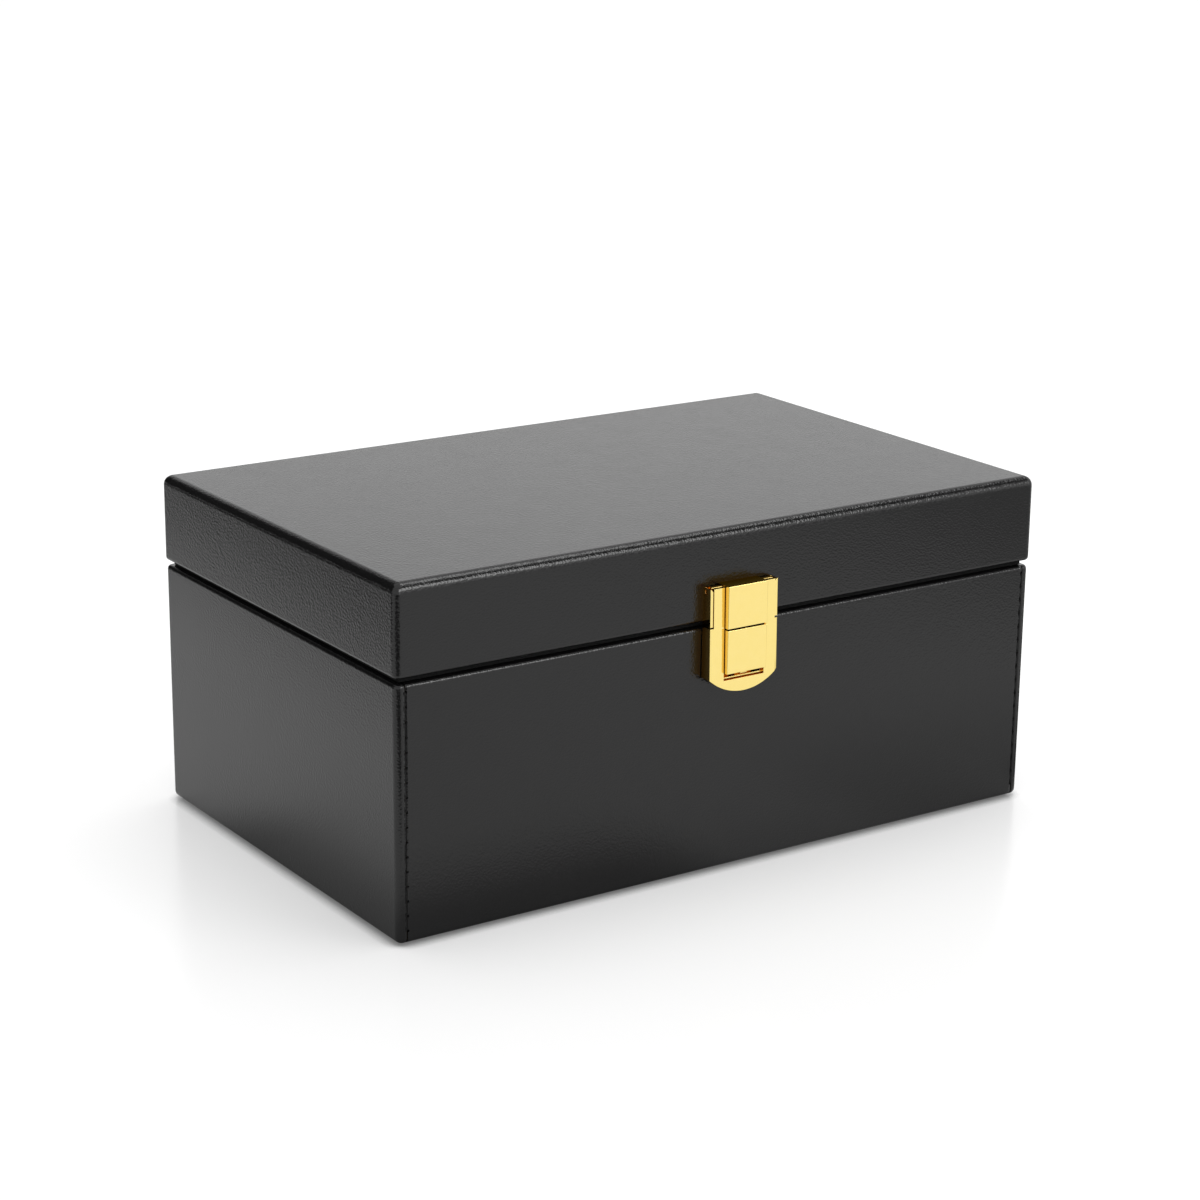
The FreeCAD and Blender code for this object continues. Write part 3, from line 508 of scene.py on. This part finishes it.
def make_floor():
    """A glossy white floor keeping the box's shadow and soft reflection, and a painted contact
    shadow.
    """
    bpy.ops.mesh.primitive_plane_add(size=FLOOR_SIZE, location=(0, 0, FLOOR_HEIGHT))
    floor = bpy.context.object
    floor.name = "floor"
    graph = Finish("white_floor")
    # Painted contact shadow: the floor's colour and glow are darker where the box is close
    clear = graph.span(graph.openness(SHADOW_REACH), 0.50, 0.85)
    lift = graph.blend(clear, SHADOW_LIFT, FLOOR_LIFT)
    graph.set(
        base_color=graph.mix(clear, grey(SHADOW_COLOUR), grey(FLOOR_COLOUR)),
        roughness=0.22,
        ior=1.45,
        emission_color=grey(1),
        emission_strength=graph.math("MULTIPLY", background_shown(graph), lift),
    )
    place = graph.split(graph.place)
    lost = 0.0
    for x_span, y_span, soft, share in FLAGS:
        across = graph.between(place["X"], *x_span, soft)
        along = graph.between(place["Y"], *y_span, soft)
        inside = graph.math("MULTIPLY", across, along)
        lost = graph.math("MAXIMUM", lost, graph.math("MULTIPLY", inside, share))
    dark = graph.add("ShaderNodeEmission", {"Color": grey(0), "Strength": 0.0})
    final = graph.add("ShaderNodeMixShader", {
        0: graph.math("MULTIPLY", lost, mirrored(graph, 1)),
        1: graph.shader.outputs[0],
        2: dark.outputs[0],
    })
    graph.give(graph.output.inputs[0], final.outputs[0])
    floor.data.materials.append(graph.material)


def make_lamp(name, place, size, power):
    """Make a square soft box that points at the box and isn't mirrored."""
    data = bpy.data.lights.new(name, "AREA")
    data.size = size
    data.energy = power
    lamp = bpy.data.objects.new(name, data)
    lamp.location = place
    lamp.rotation_euler = (BOX_MIDDLE - Vector(place)).to_track_quat("-Z", "Y").to_euler()
    lamp.visible_glossy = False
    bpy.context.scene.collection.objects.link(lamp)


def make_studio():
    """Floor, world and lamps."""
    make_world()
    make_floor()
    make_lamp("overhead", place=(0.15, 0.1, 1.5), size=1.3, power=9.0)
    make_lamp("right_front", place=(0.8, -1.2, 0.8), size=0.9, power=3.0)


# Mesh building. From here on, places and sizes are in millimetres up to the mesh itself, and
# the edges that stay sharp are sharper than an angle in degrees
SIDE_STEPS = 24
CORNER_STEPS = 4
FOLD_STEPS = 4
LEAST_CORNER = 0.4
SOFT_SHARP = 60.0
HOLE_SHARP = 35.0
SCREW_SHARP = 30.0
WORN_SHARP = 50.0


def add_piece(name, mesh, body, finish, slot, *stands_for):
    """Link a mesh as a piece that moves with a body and takes a finish."""
    piece = bpy.data.objects.new(name, mesh)
    bpy.context.scene.collection.objects.link(piece)
    mesh.materials.append(finish)
    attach(piece, body)
    if stands_for:
        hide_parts(*stands_for)
    return piece


def smooth(mesh, sharp):
    """Shade a mesh smooth but for its sharp edges."""
    mesh.shade_smooth()
    mesh.set_sharp_from_angle(angle=math.radians(sharp))


def mesh_from(name, points, faces, sharp):
    """Make a mesh with outward normals, smooth but for its sharp edges."""
    mesh = bpy.data.meshes.new(name)
    mesh.from_pydata([point * MM for point in points], [], faces)
    shape = bmesh.new()
    shape.from_mesh(mesh)
    bmesh.ops.recalc_face_normals(shape, faces=shape.faces)
    shape.to_mesh(mesh)
    shape.free()
    smooth(mesh, sharp)
    return mesh


def skin(start, rings, count, ends=("first", "last")):
    """Return the faces that join rings of points, from a first point on, and close the ends."""
    faces = []
    for ring in range(rings - 1):
        low, high = start + ring * count, start + (ring + 1) * count
        for step in range(count):
            after = (step + 1) % count
            faces.append((low + step, low + after, high + after, high + step))
    if "first" in ends:
        faces.append(tuple(reversed(range(start, start + count))))
    if "last" in ends:
        last = start + (rings - 1) * count
        faces.append(tuple(range(last, last + count)))
    return faces


def rounded_loop(half_x, half_y, radius):
    """Return the points of a rounded rectangle, the same number for any size."""
    points = []
    straight_x, straight_y = half_x - radius, half_y - radius
    quarters = ((1, 1), (-1, 1), (-1, -1), (1, -1))
    for number, (sign_x, sign_y) in enumerate(quarters):
        centre = Vector((sign_x * straight_x, sign_y * straight_y))
        first = math.pi / 2 * number
        for step in range(CORNER_STEPS + 1):
            turn = first + math.pi / 2 * step / CORNER_STEPS
            points.append(centre + radius * Vector((math.cos(turn), math.sin(turn))))
        start = points[-1].copy()
        next_x, next_y = quarters[(number + 1) % 4]
        end = Vector((next_x * straight_x, next_y * straight_y))
        end += radius * Vector((math.cos(turn), math.sin(turn)))
        for step in range(1, SIDE_STEPS):
            points.append(start.lerp(end, step / SIDE_STEPS))
    return points


def loft(name, rings, ends, shift=None):
    """Join rounded rectangles, each a (half x, half y, radius, z), and close the named ends."""
    points = []
    for half_x, half_y, radius, z in rings:
        loop = rounded_loop(half_x, half_y, radius)
        points += [Vector((x, y, z)) for x, y in loop]
    if shift:
        points = [shift(point) for point in points]
    return mesh_from(name, points, skin(0, len(rings), len(loop), ends), SOFT_SHARP)


def arc_rings(centre_inset, centre_z, radius, first, last):
    """Return (inset, z) places along an arc, with angles in degrees from inward to up."""
    places = []
    for step in range(FOLD_STEPS + 1):
        angle = math.radians(first + (last - first) * step / FOLD_STEPS)
        places.append((
            centre_inset + radius * math.cos(angle),
            centre_z + radius * math.sin(angle),
        ))
    return places


def inset_rings(half_x, half_y, corner, places):
    """Turn (inset, z) places into rings inside a rounded rectangle."""
    return [
        (half_x - inset, half_y - inset, max(corner - inset, LEAST_CORNER), z)
        for inset, z in places
    ]


def unevenness(point, size, depth):
    """Return a small smooth shift that differs from place to place."""
    return depth * noise.noise(point / size)


# Linings, pads, gasket and felt
CLOTH = 0.45
CLOTH_STEP = 6.0
CLOTH_BORDER = 4.0
LINING_CORNER = 2.4
PAD_CORNER = 4.0
FELT_CORNER = 12.0
ACROSS_PANEL = (8, 30, 55)
HINGE_X = 70.0


def add_cloth_thickness(piece):
    """Give a sheet its thickness, half each way."""
    modifier = piece.modifiers.new("thickness", "SOLIDIFY")
    modifier.thickness = CLOTH * MM
    modifier.offset = 0.0


def settle(half_x, half_y):
    """Return a shift that lets cloth stand a hair off its boards between glued places."""

    def shift(point):
        inward = unevenness(point, 34.0, 0.12) + 0.03
        across_x = across_y = 0.0
        if abs(point.x) > half_x - CLOTH_BORDER:
            across_x = -math.copysign(inward, point.x)
        if abs(point.y) > half_y - CLOTH_BORDER:
            across_y = -math.copysign(inward, point.y)
        return point + Vector((across_x, across_y, 0.0))

    return shift


def make_base_lining(finish):
    """Shield cloth over the collar's top, down its inside and across the floor."""
    half_x, half_y, top = 112.0, 67.0, 86.98
    wall, floor = 3.28, 5.74
    over_collar, into_floor = 0.9, 1.9
    places = [(0.05, top - 0.02), (0.6, top), (1.4, top + 0.02), (2.2, top)]
    places += arc_rings(wall - over_collar, top - over_collar, over_collar, 90, 0)
    places += [(wall, top - over_collar - CLOTH_STEP * step) for step in range(1, 13)]
    places += arc_rings(wall + into_floor, floor + into_floor, into_floor, 180, 270)
    places += [(wall + inset, floor) for inset in ACROSS_PANEL]
    rings = inset_rings(half_x, half_y, LINING_CORNER, places)
    mesh = loft("base_lining_cloth", rings, ("last",), settle(half_x - wall, half_y - wall))
    piece = add_piece("base_lining_cloth", mesh, "base", finish, "shield_fabric", "base_lining")
    add_cloth_thickness(piece)


def make_lid_lining(finish):
    """Shield cloth round the lid's walls and over its ceiling."""
    half_x, half_y, foot, ceiling = 112.82, 67.82, 82.72, 104.66
    hem, step_up, into_ceiling = 1.2, 4.0, 1.7
    places = [(0.0, foot)]
    places += [(0.0, foot + hem + step_up * step) for step in range(5)]
    places += arc_rings(into_ceiling, ceiling - into_ceiling, into_ceiling, 180, 90)
    places += [(inset, ceiling) for inset in ACROSS_PANEL]
    rings = inset_rings(half_x, half_y, LINING_CORNER, places)
    mesh = loft("lid_lining_cloth", rings, ("last",), settle(half_x, half_y))
    piece = add_piece("lid_lining_cloth", mesh, "lid", finish, "shield_fabric", "lid_lining")
    add_cloth_thickness(piece)


def make_pad(node, body, finish, half_x, half_y, back, up):
    """A thin foam pad under cloth: crowned, pulled in between its corners, with a channel."""
    name = f"{node}_cloth"
    pull, channel, back_layer = 0.9, 7.0, 1.0
    profile = [
        (30.0, 0.0), (4.0, 0.0), (1.2, 0.05), (0.35, 0.35), (0.05, 0.9), (0.0, 1.35), (0.15, 1.8),
        (0.55, 2.2), (1.2, 2.5), (2.4, 2.68), (4.4, 2.70), (channel - 1.3, 2.58),
        (channel - 0.5, 2.28), (channel, 2.12), (channel + 0.5, 2.28), (channel + 1.3, 2.58),
        (channel + 3.4, 2.72), (16.0, 2.78), (30.0, 2.83), (48.0, 2.85),
    ]
    places = [(inset, back + up * height) for inset, height in profile]

    def shift(point):
        share_x, share_y = point.x / half_x, point.y / half_y
        lift = unevenness(point, 26.0, 0.10) if abs(point.z - back) > back_layer else 0.0
        return Vector((
            point.x - pull * share_x * (1 - share_y ** 2),
            point.y - pull * share_y * (1 - share_x ** 2),
            point.z + up * lift,
        ))

    rings = inset_rings(half_x, half_y, PAD_CORNER, places)
    mesh = loft(name, rings, ("first", "last"), shift)
    piece = add_piece(name, mesh, body, finish, "pad_fabric", node)


def make_gasket(finish):
    """A strip of foam round the collar, rounded on top and cut out for the hinge leaves."""
    low, high, rounding = 80.72, 82.08, 0.45
    inner_x, inner_y, outer_x, outer_y = 112.05, 67.05, 117.9, 72.9
    notch_y, notch_half = 69.1, 12.4
    square = math.radians(60)
    hinges = (-HINGE_X, HINGE_X)
    edges = sorted([centre + side * notch_half for centre in hinges for side in (-1, 1)])
    columns = [-outer_x, -inner_x, *edges, inner_x, outer_x]
    rows = [-outer_y, -inner_y, inner_y, notch_y, outer_y]

    def solid(column, row):
        x = (columns[column] + columns[column + 1]) / 2
        y = (rows[row] + rows[row + 1]) / 2
        room = abs(x) < inner_x and abs(y) < inner_y
        notch = y > notch_y and any(abs(x - centre) < notch_half for centre in hinges)
        return not room and not notch

    shape = bmesh.new()
    corners = {}

    def corner(column, row):
        if (column, row) not in corners:
            place = Vector((columns[column], rows[row], low)) * MM
            corners[column, row] = shape.verts.new(place)
        return corners[column, row]

    flat = [
        shape.faces.new([corner(c, r), corner(c + 1, r), corner(c + 1, r + 1), corner(c, r + 1)])
        for c in range(len(columns) - 1) for r in range(len(rows) - 1) if solid(c, r)
    ]
    raised = bmesh.ops.extrude_face_region(shape, geom=flat)["geom"]
    bmesh.ops.translate(shape, vec=(0, 0, (high - low) * MM),
                        verts=[item for item in raised if isinstance(item, bmesh.types.BMVert)])
    bmesh.ops.recalc_face_normals(shape, faces=shape.faces)
    top_edges = [
        edge for edge in shape.edges
        if edge.calc_face_angle(0.0) > square and min(v.co.z for v in edge.verts) > low * MM
    ]
    bmesh.ops.bevel(shape, geom=top_edges, offset=rounding * MM, segments=3, profile=0.5,
                    affect="EDGES", clamp_overlap=True)
    mesh = bpy.data.meshes.new("rim_gasket_foam")
    shape.to_mesh(mesh)
    shape.free()
    smooth(mesh, SOFT_SHARP)
    piece = add_piece("rim_gasket_foam", mesh, "base", finish, "gasket_foam", "rim_gasket")


def make_felt(finish):
    """The felt sheet under the base, with its middle let in between the wrap's turned edges."""
    half_x, half_y = 117.5, 72.5
    island = 9.7
    places = [
        (60.0, 0.0), (4.0, 0.0), (0.6, 0.02), (0.12, 0.18), (0.0, 0.34), (0.2, 0.54), (0.7, 0.6),
        (island - 0.4, 0.6), (island, 0.75), (island, 1.2), (island + 0.3, 1.36),
        (island + 1.0, 1.38), (60.0, 1.38),
    ]
    rings = inset_rings(half_x, half_y, FELT_CORNER, places)
    mesh = loft("underside_felt", rings, ("first", "last"))
    piece = add_piece("underside_felt", mesh, "base", finish, "underside_felt", "underside_sheet")


# Metal pieces with worn edges. Angles are in degrees
MERGE_DISTANCE = 0.001
FLAT_WITHIN = 0.6
BEVEL_FROM = 24.0


def harden(mesh):
    """Shade large faces flat, and let the rounded edges turn between the faces they join."""
    limit = math.cos(math.radians(WORN_SHARP))
    around = [[] for vertex in mesh.vertices]
    for face in mesh.polygons:
        for number in face.vertices:
            around[number].append(face)
    normals = []
    for face in mesh.polygons:
        for number in face.vertices:
            total = Vector()
            for other in around[number]:
                if other.normal.dot(face.normal) > limit:
                    total += other.normal * (other.area / MM ** 2) ** 2
            normals.append(total.normalized())
    mesh.normals_split_custom_set(normals)


def make_worn(name, node, body, finish, slot, edge_width):
    """Copy a node's shape and round its edges slightly, as casting and plating leave it."""
    shape = bmesh.new()
    shape.from_mesh(NODES[node].data)
    bmesh.ops.remove_doubles(shape, verts=shape.verts, dist=MERGE_DISTANCE * MM)
    bmesh.ops.dissolve_limit(shape, angle_limit=math.radians(FLAT_WITHIN), verts=shape.verts,
                             edges=shape.edges)
    edges = [
        edge for edge in shape.edges
        if edge.is_manifold and edge.calc_face_angle(0.0) > math.radians(BEVEL_FROM)
    ]
    bmesh.ops.bevel(shape, geom=edges, offset=edge_width * MM, segments=2, profile=0.5,
                    affect="EDGES", clamp_overlap=True)
    mesh = bpy.data.meshes.new(name)
    shape.to_mesh(mesh)
    shape.free()
    if mesh.attributes.get("custom_normal"):
        mesh.attributes.remove(mesh.attributes["custom_normal"])
    smooth(mesh, WORN_SHARP)
    harden(mesh)
    add_piece(name, mesh, body, finish, slot, node)


# Screws. A profile is a list of (radius, height) places from the tip to the middle of the head
SCREW_SIDES = 40
HEAD_RINGS = 14
RECESS_DEPTH, RECESS_REACH, RECESS_HALF = 0.34, 0.85, 0.17
HINGE_SCREW_STEP = 7.0
HINGE_SCREW_Y = 72.25
BASE_LEAF_SEAT, LID_LEAF_SEAT = 80.7, 82.4
LATCH_SCREW_X = 9.2
CASTING_SEAT, KEEPER_SEAT = -76.1, -75.8
CASTING_SCREW_Z = 86.5
KEEPER_SCREW_ZS = (69.25, 76.25)


def head_rings(outer, top_of):
    """Return places across a head from its rim to near its middle."""
    radii = [outer * (1 - step / HEAD_RINGS) for step in range(HEAD_RINGS)]
    return [(radius, top_of(radius)) for radius in radii]


FLAT_HEAD = [(0.05, -4.5), (0.45, -4.0), (0.7, -3.4), (0.7, 0.0), (1.34, 0.64), (1.38, 0.69)]
FLAT_HEAD += head_rings(1.30, lambda radius: 0.70)
PAN_HEAD = [(0.05, -6.0), (0.45, -5.4), (0.7, -4.6), (0.7, 0.0), (1.35, 0.0), (1.35, 0.14)]
PAN_HEAD += head_rings(1.28, lambda radius: 0.6 - 0.32 * (radius / 1.28) ** 3)


def screw_points(profile):
    """Turn a profile round its axis, and press a cross into its top face."""
    points = []
    for radius, height in profile:
        for side in range(SCREW_SIDES):
            angle = 2 * math.pi * side / SCREW_SIDES
            x, y = radius * math.cos(angle), radius * math.sin(angle)
            narrow, reach = min(abs(x), abs(y)), max(abs(x), abs(y))
            pressed = height > 0 and narrow < RECESS_HALF and reach < RECESS_REACH
            points.append(Vector((x, y, height - (RECESS_DEPTH if pressed else 0.0))))
    return points


def make_screws(node, body, finish, places, axis, profile):
    """Make a group of screws whose heads point along an axis."""
    name = f"{node}_brass"
    turn = Vector((0, 0, 1)).rotation_difference(Vector(axis))
    spin = random.Random(name)
    points, faces = [], []
    for place in places:
        twist = Matrix.Rotation(spin.uniform(0, math.pi / 2), 3, "Z")
        faces += skin(len(points), len(profile), SCREW_SIDES)
        points += [turn @ (twist @ point) + Vector(place) for point in screw_points(profile)]
    mesh = mesh_from(name, points, faces, SCREW_SHARP)
    add_piece(name, mesh, body, finish, "screw_brass", node)


def make_all_screws(finish):
    """Countersunk screws in the hinges and pan-head screws in the latch."""
    hinge_xs = [side * HINGE_X + step * HINGE_SCREW_STEP for side in (-1, 1) for step in (-1, 1)]
    latch_xs = (-LATCH_SCREW_X, LATCH_SCREW_X)
    make_screws("base_hinge_screws", "base", finish,
                [(x, HINGE_SCREW_Y, BASE_LEAF_SEAT) for x in hinge_xs], (0, 0, 1), FLAT_HEAD)
    make_screws("lid_hinge_screws", "lid", finish,
                [(x, HINGE_SCREW_Y, LID_LEAF_SEAT) for x in hinge_xs], (0, 0, -1), FLAT_HEAD)
    make_screws("lid_latch_screws", "lid", finish,
                [(x, CASTING_SEAT, CASTING_SCREW_Z) for x in latch_xs], (0, -1, 0), PAN_HEAD)
    make_screws("keeper_screws", "base", finish,
                [(x, KEEPER_SEAT, z) for x in latch_xs for z in KEEPER_SCREW_ZS],
                (0, -1, 0), PAN_HEAD)


# The seams' stitches
FRONT_Y = -75.0
STITCH_PITCH = 4.6
STITCHES = 16
FIRST_HOLE_Z = 78.4
HOLE_SHIFT = 0.36
HOLE_RADIUS = 0.33
WANDER = 0.03

# A needle hole's rings: a share of its radius, and how far they stand proud of the wrap
HOLE_RINGS = ((1.0, 0.002), (0.96, 0.022), (0.5, 0.012))
HOLE_STRETCH = 1.25

# Half a stitch, from its needle hole to its middle: whether it has come to the seam's line, its
# step outward from there, its depth in the wrap, its way down and the thread's radius. The
# other half mirrors it
HALF_STITCH = [
    (False, 0.0, 0.16, 0.0, 0.10),
    (False, 0.10, 0.02, 0.16, 0.13),
    (True, -0.06, 0.05, 0.55, 0.15),
    (True, 0.0, 0.10, 1.1, 0.15),
    (True, 0.0, 0.12, STITCH_PITCH / 2, 0.15),
]
STITCH = HALF_STITCH + [
    (on_line, outward, depth, STITCH_PITCH - down, radius)
    for on_line, outward, depth, down, radius in HALF_STITCH[-2::-1]
]


def add_tube(points, faces, path, radii, sides=8):
    """Add a tube along a path to a mesh's points and faces."""
    faces += skin(len(points), len(path), sides)
    for number, place in enumerate(path):
        before = path[max(number - 1, 0)]
        after = path[min(number + 1, len(path) - 1)]
        along = (after - before).normalized()
        across = along.cross(Vector((0, 1, 0.01))).normalized()
        other = along.cross(across)
        for side in range(sides):
            angle = 2 * math.pi * side / sides
            around = math.cos(angle) * across + math.sin(angle) * other
            points.append(place + radii[number] * around)


def add_hole(points, faces, centre, radius, sides=14):
    """Add a needle hole's painted shade: a thin dished disc that lies on the wrap."""
    faces += skin(len(points), len(HOLE_RINGS), sides)
    for share, proud in HOLE_RINGS:
        for side in range(sides):
            angle = 2 * math.pi * side / sides
            x, z = radius * share * math.cos(angle), radius * share * math.sin(angle)
            points.append(centre + Vector((x, -proud, HOLE_STRETCH * z)))


def add_stitch(points, faces, sign, hole_x, line_x, z):
    """Add the stitch that starts at a needle hole's height and runs to the hole below."""
    path, radii = [], []
    for on_line, outward, depth, down, radius in STITCH:
        x = (line_x if on_line else hole_x) + sign * outward
        path.append(Vector((x, FRONT_Y + depth, z - down)))
        radii.append(radius)
    add_tube(points, faces, path, radii)


def make_seam(name, sign, thread_finish, hole_shade_finish):
    """Sew one front seam: painted-shade needle holes beside the line, and a thread lying in it.
    """
    points, faces = [], []
    hole_points, hole_faces = [], []
    wander = random.Random(name)
    for number in range(STITCHES + 1):
        z = FIRST_HOLE_Z - number * STITCH_PITCH
        x = sign * (SEAM_X - HOLE_SHIFT) + wander.uniform(-WANDER, WANDER)
        radius = HOLE_RADIUS + wander.uniform(-WANDER, WANDER)
        add_hole(hole_points, hole_faces, Vector((x, FRONT_Y, z)), radius)
        if number < STITCHES:
            line_x = sign * SEAM_X + wander.uniform(-WANDER, WANDER)
            add_stitch(points, faces, sign, x, line_x, z)
    mesh = mesh_from(f"{name}_thread", points, faces, SOFT_SHARP)
    add_piece(f"{name}_thread", mesh, "base", thread_finish, "black_leatherette")
    # Painted shade: each needle hole is a near-black disc that mirrors nothing, lying on the wrap
    mesh = mesh_from(f"{name}_needle_holes", hole_points, hole_faces, HOLE_SHARP)
    add_piece(f"{name}_needle_holes", mesh, "base", hole_shade_finish, "black_leatherette")


# All of it
def dress_nodes(finishes):
    """Give every CAD node its finish."""
    for row in frame["record"]["subparts"]:
        slots = NODES[row["node"]].data.materials
        slots.clear()
        slots.append(finishes[row["material_slot"]])


def make_pieces(finishes):
    """Make the pieces that stand for soft solids, metal with worn edges, screws and stitches."""
    make_base_lining(finishes["shield_fabric"])
    make_lid_lining(finishes["shield_fabric"])
    make_pad("floor_pad", "base", finishes["pad_fabric"], 107.7, 62.7, back=6.02, up=1)
    make_pad("ceiling_pad", "lid", finishes["pad_fabric"], 111.8, 66.8, back=104.38, up=-1)
    make_gasket(finishes["gasket_foam"])
    make_felt(finishes["underside_felt"])
    for name, node, body, edge_width in (
        ("hasp_gilt", "latch_hasp", "hasp", 0.13),
        ("lid_casting_gilt", "latch_lid_casting", "lid", 0.10),
        ("keeper_gilt", "latch_keeper", "base", 0.10),
        ("latch_pin_gilt", "latch_pin", "lid", 0.12),
    ):
        make_worn(name, node, body, finishes["latch_gold"], "latch_gold", edge_width)
    for side in ("left", "right"):
        for part, body in (("base_leaf", "base"), ("lid_leaf", "lid"), ("pin", "base")):
            node = f"{side}_hinge_{part}"
            make_worn(f"{node}_brass", node, body, finishes["hinge_brass"], "hinge_brass", 0.08)
    make_all_screws(finishes["screw_brass"])
    # The needle holes get a near-black finish that paints the shade inside them
    sewing, dark = thread(), hole_dark()
    make_seam("left_seam", -1, sewing, dark)
    make_seam("right_seam", 1, sewing, dark)


FINISHES = {
    "black_leatherette": leatherette(),
    "latch_gold": gilt(),
    "fibreboard": fibreboard(),
    "collar_card": collar_card(),
    "shield_fabric": shield_cloth(),
    "pad_fabric": pile_cloth(),
    "gasket_foam": foam(),
    "underside_felt": felt(),
    "hinge_brass": brass("hinge_brass", 0.22),
    "screw_brass": brass("screw_brass", 0.26),
}

make_camera()
make_studio()
dress_nodes(FINISHES)
make_pieces(FINISHES)
bpy.context.scene.view_settings.view_transform = "Standard"
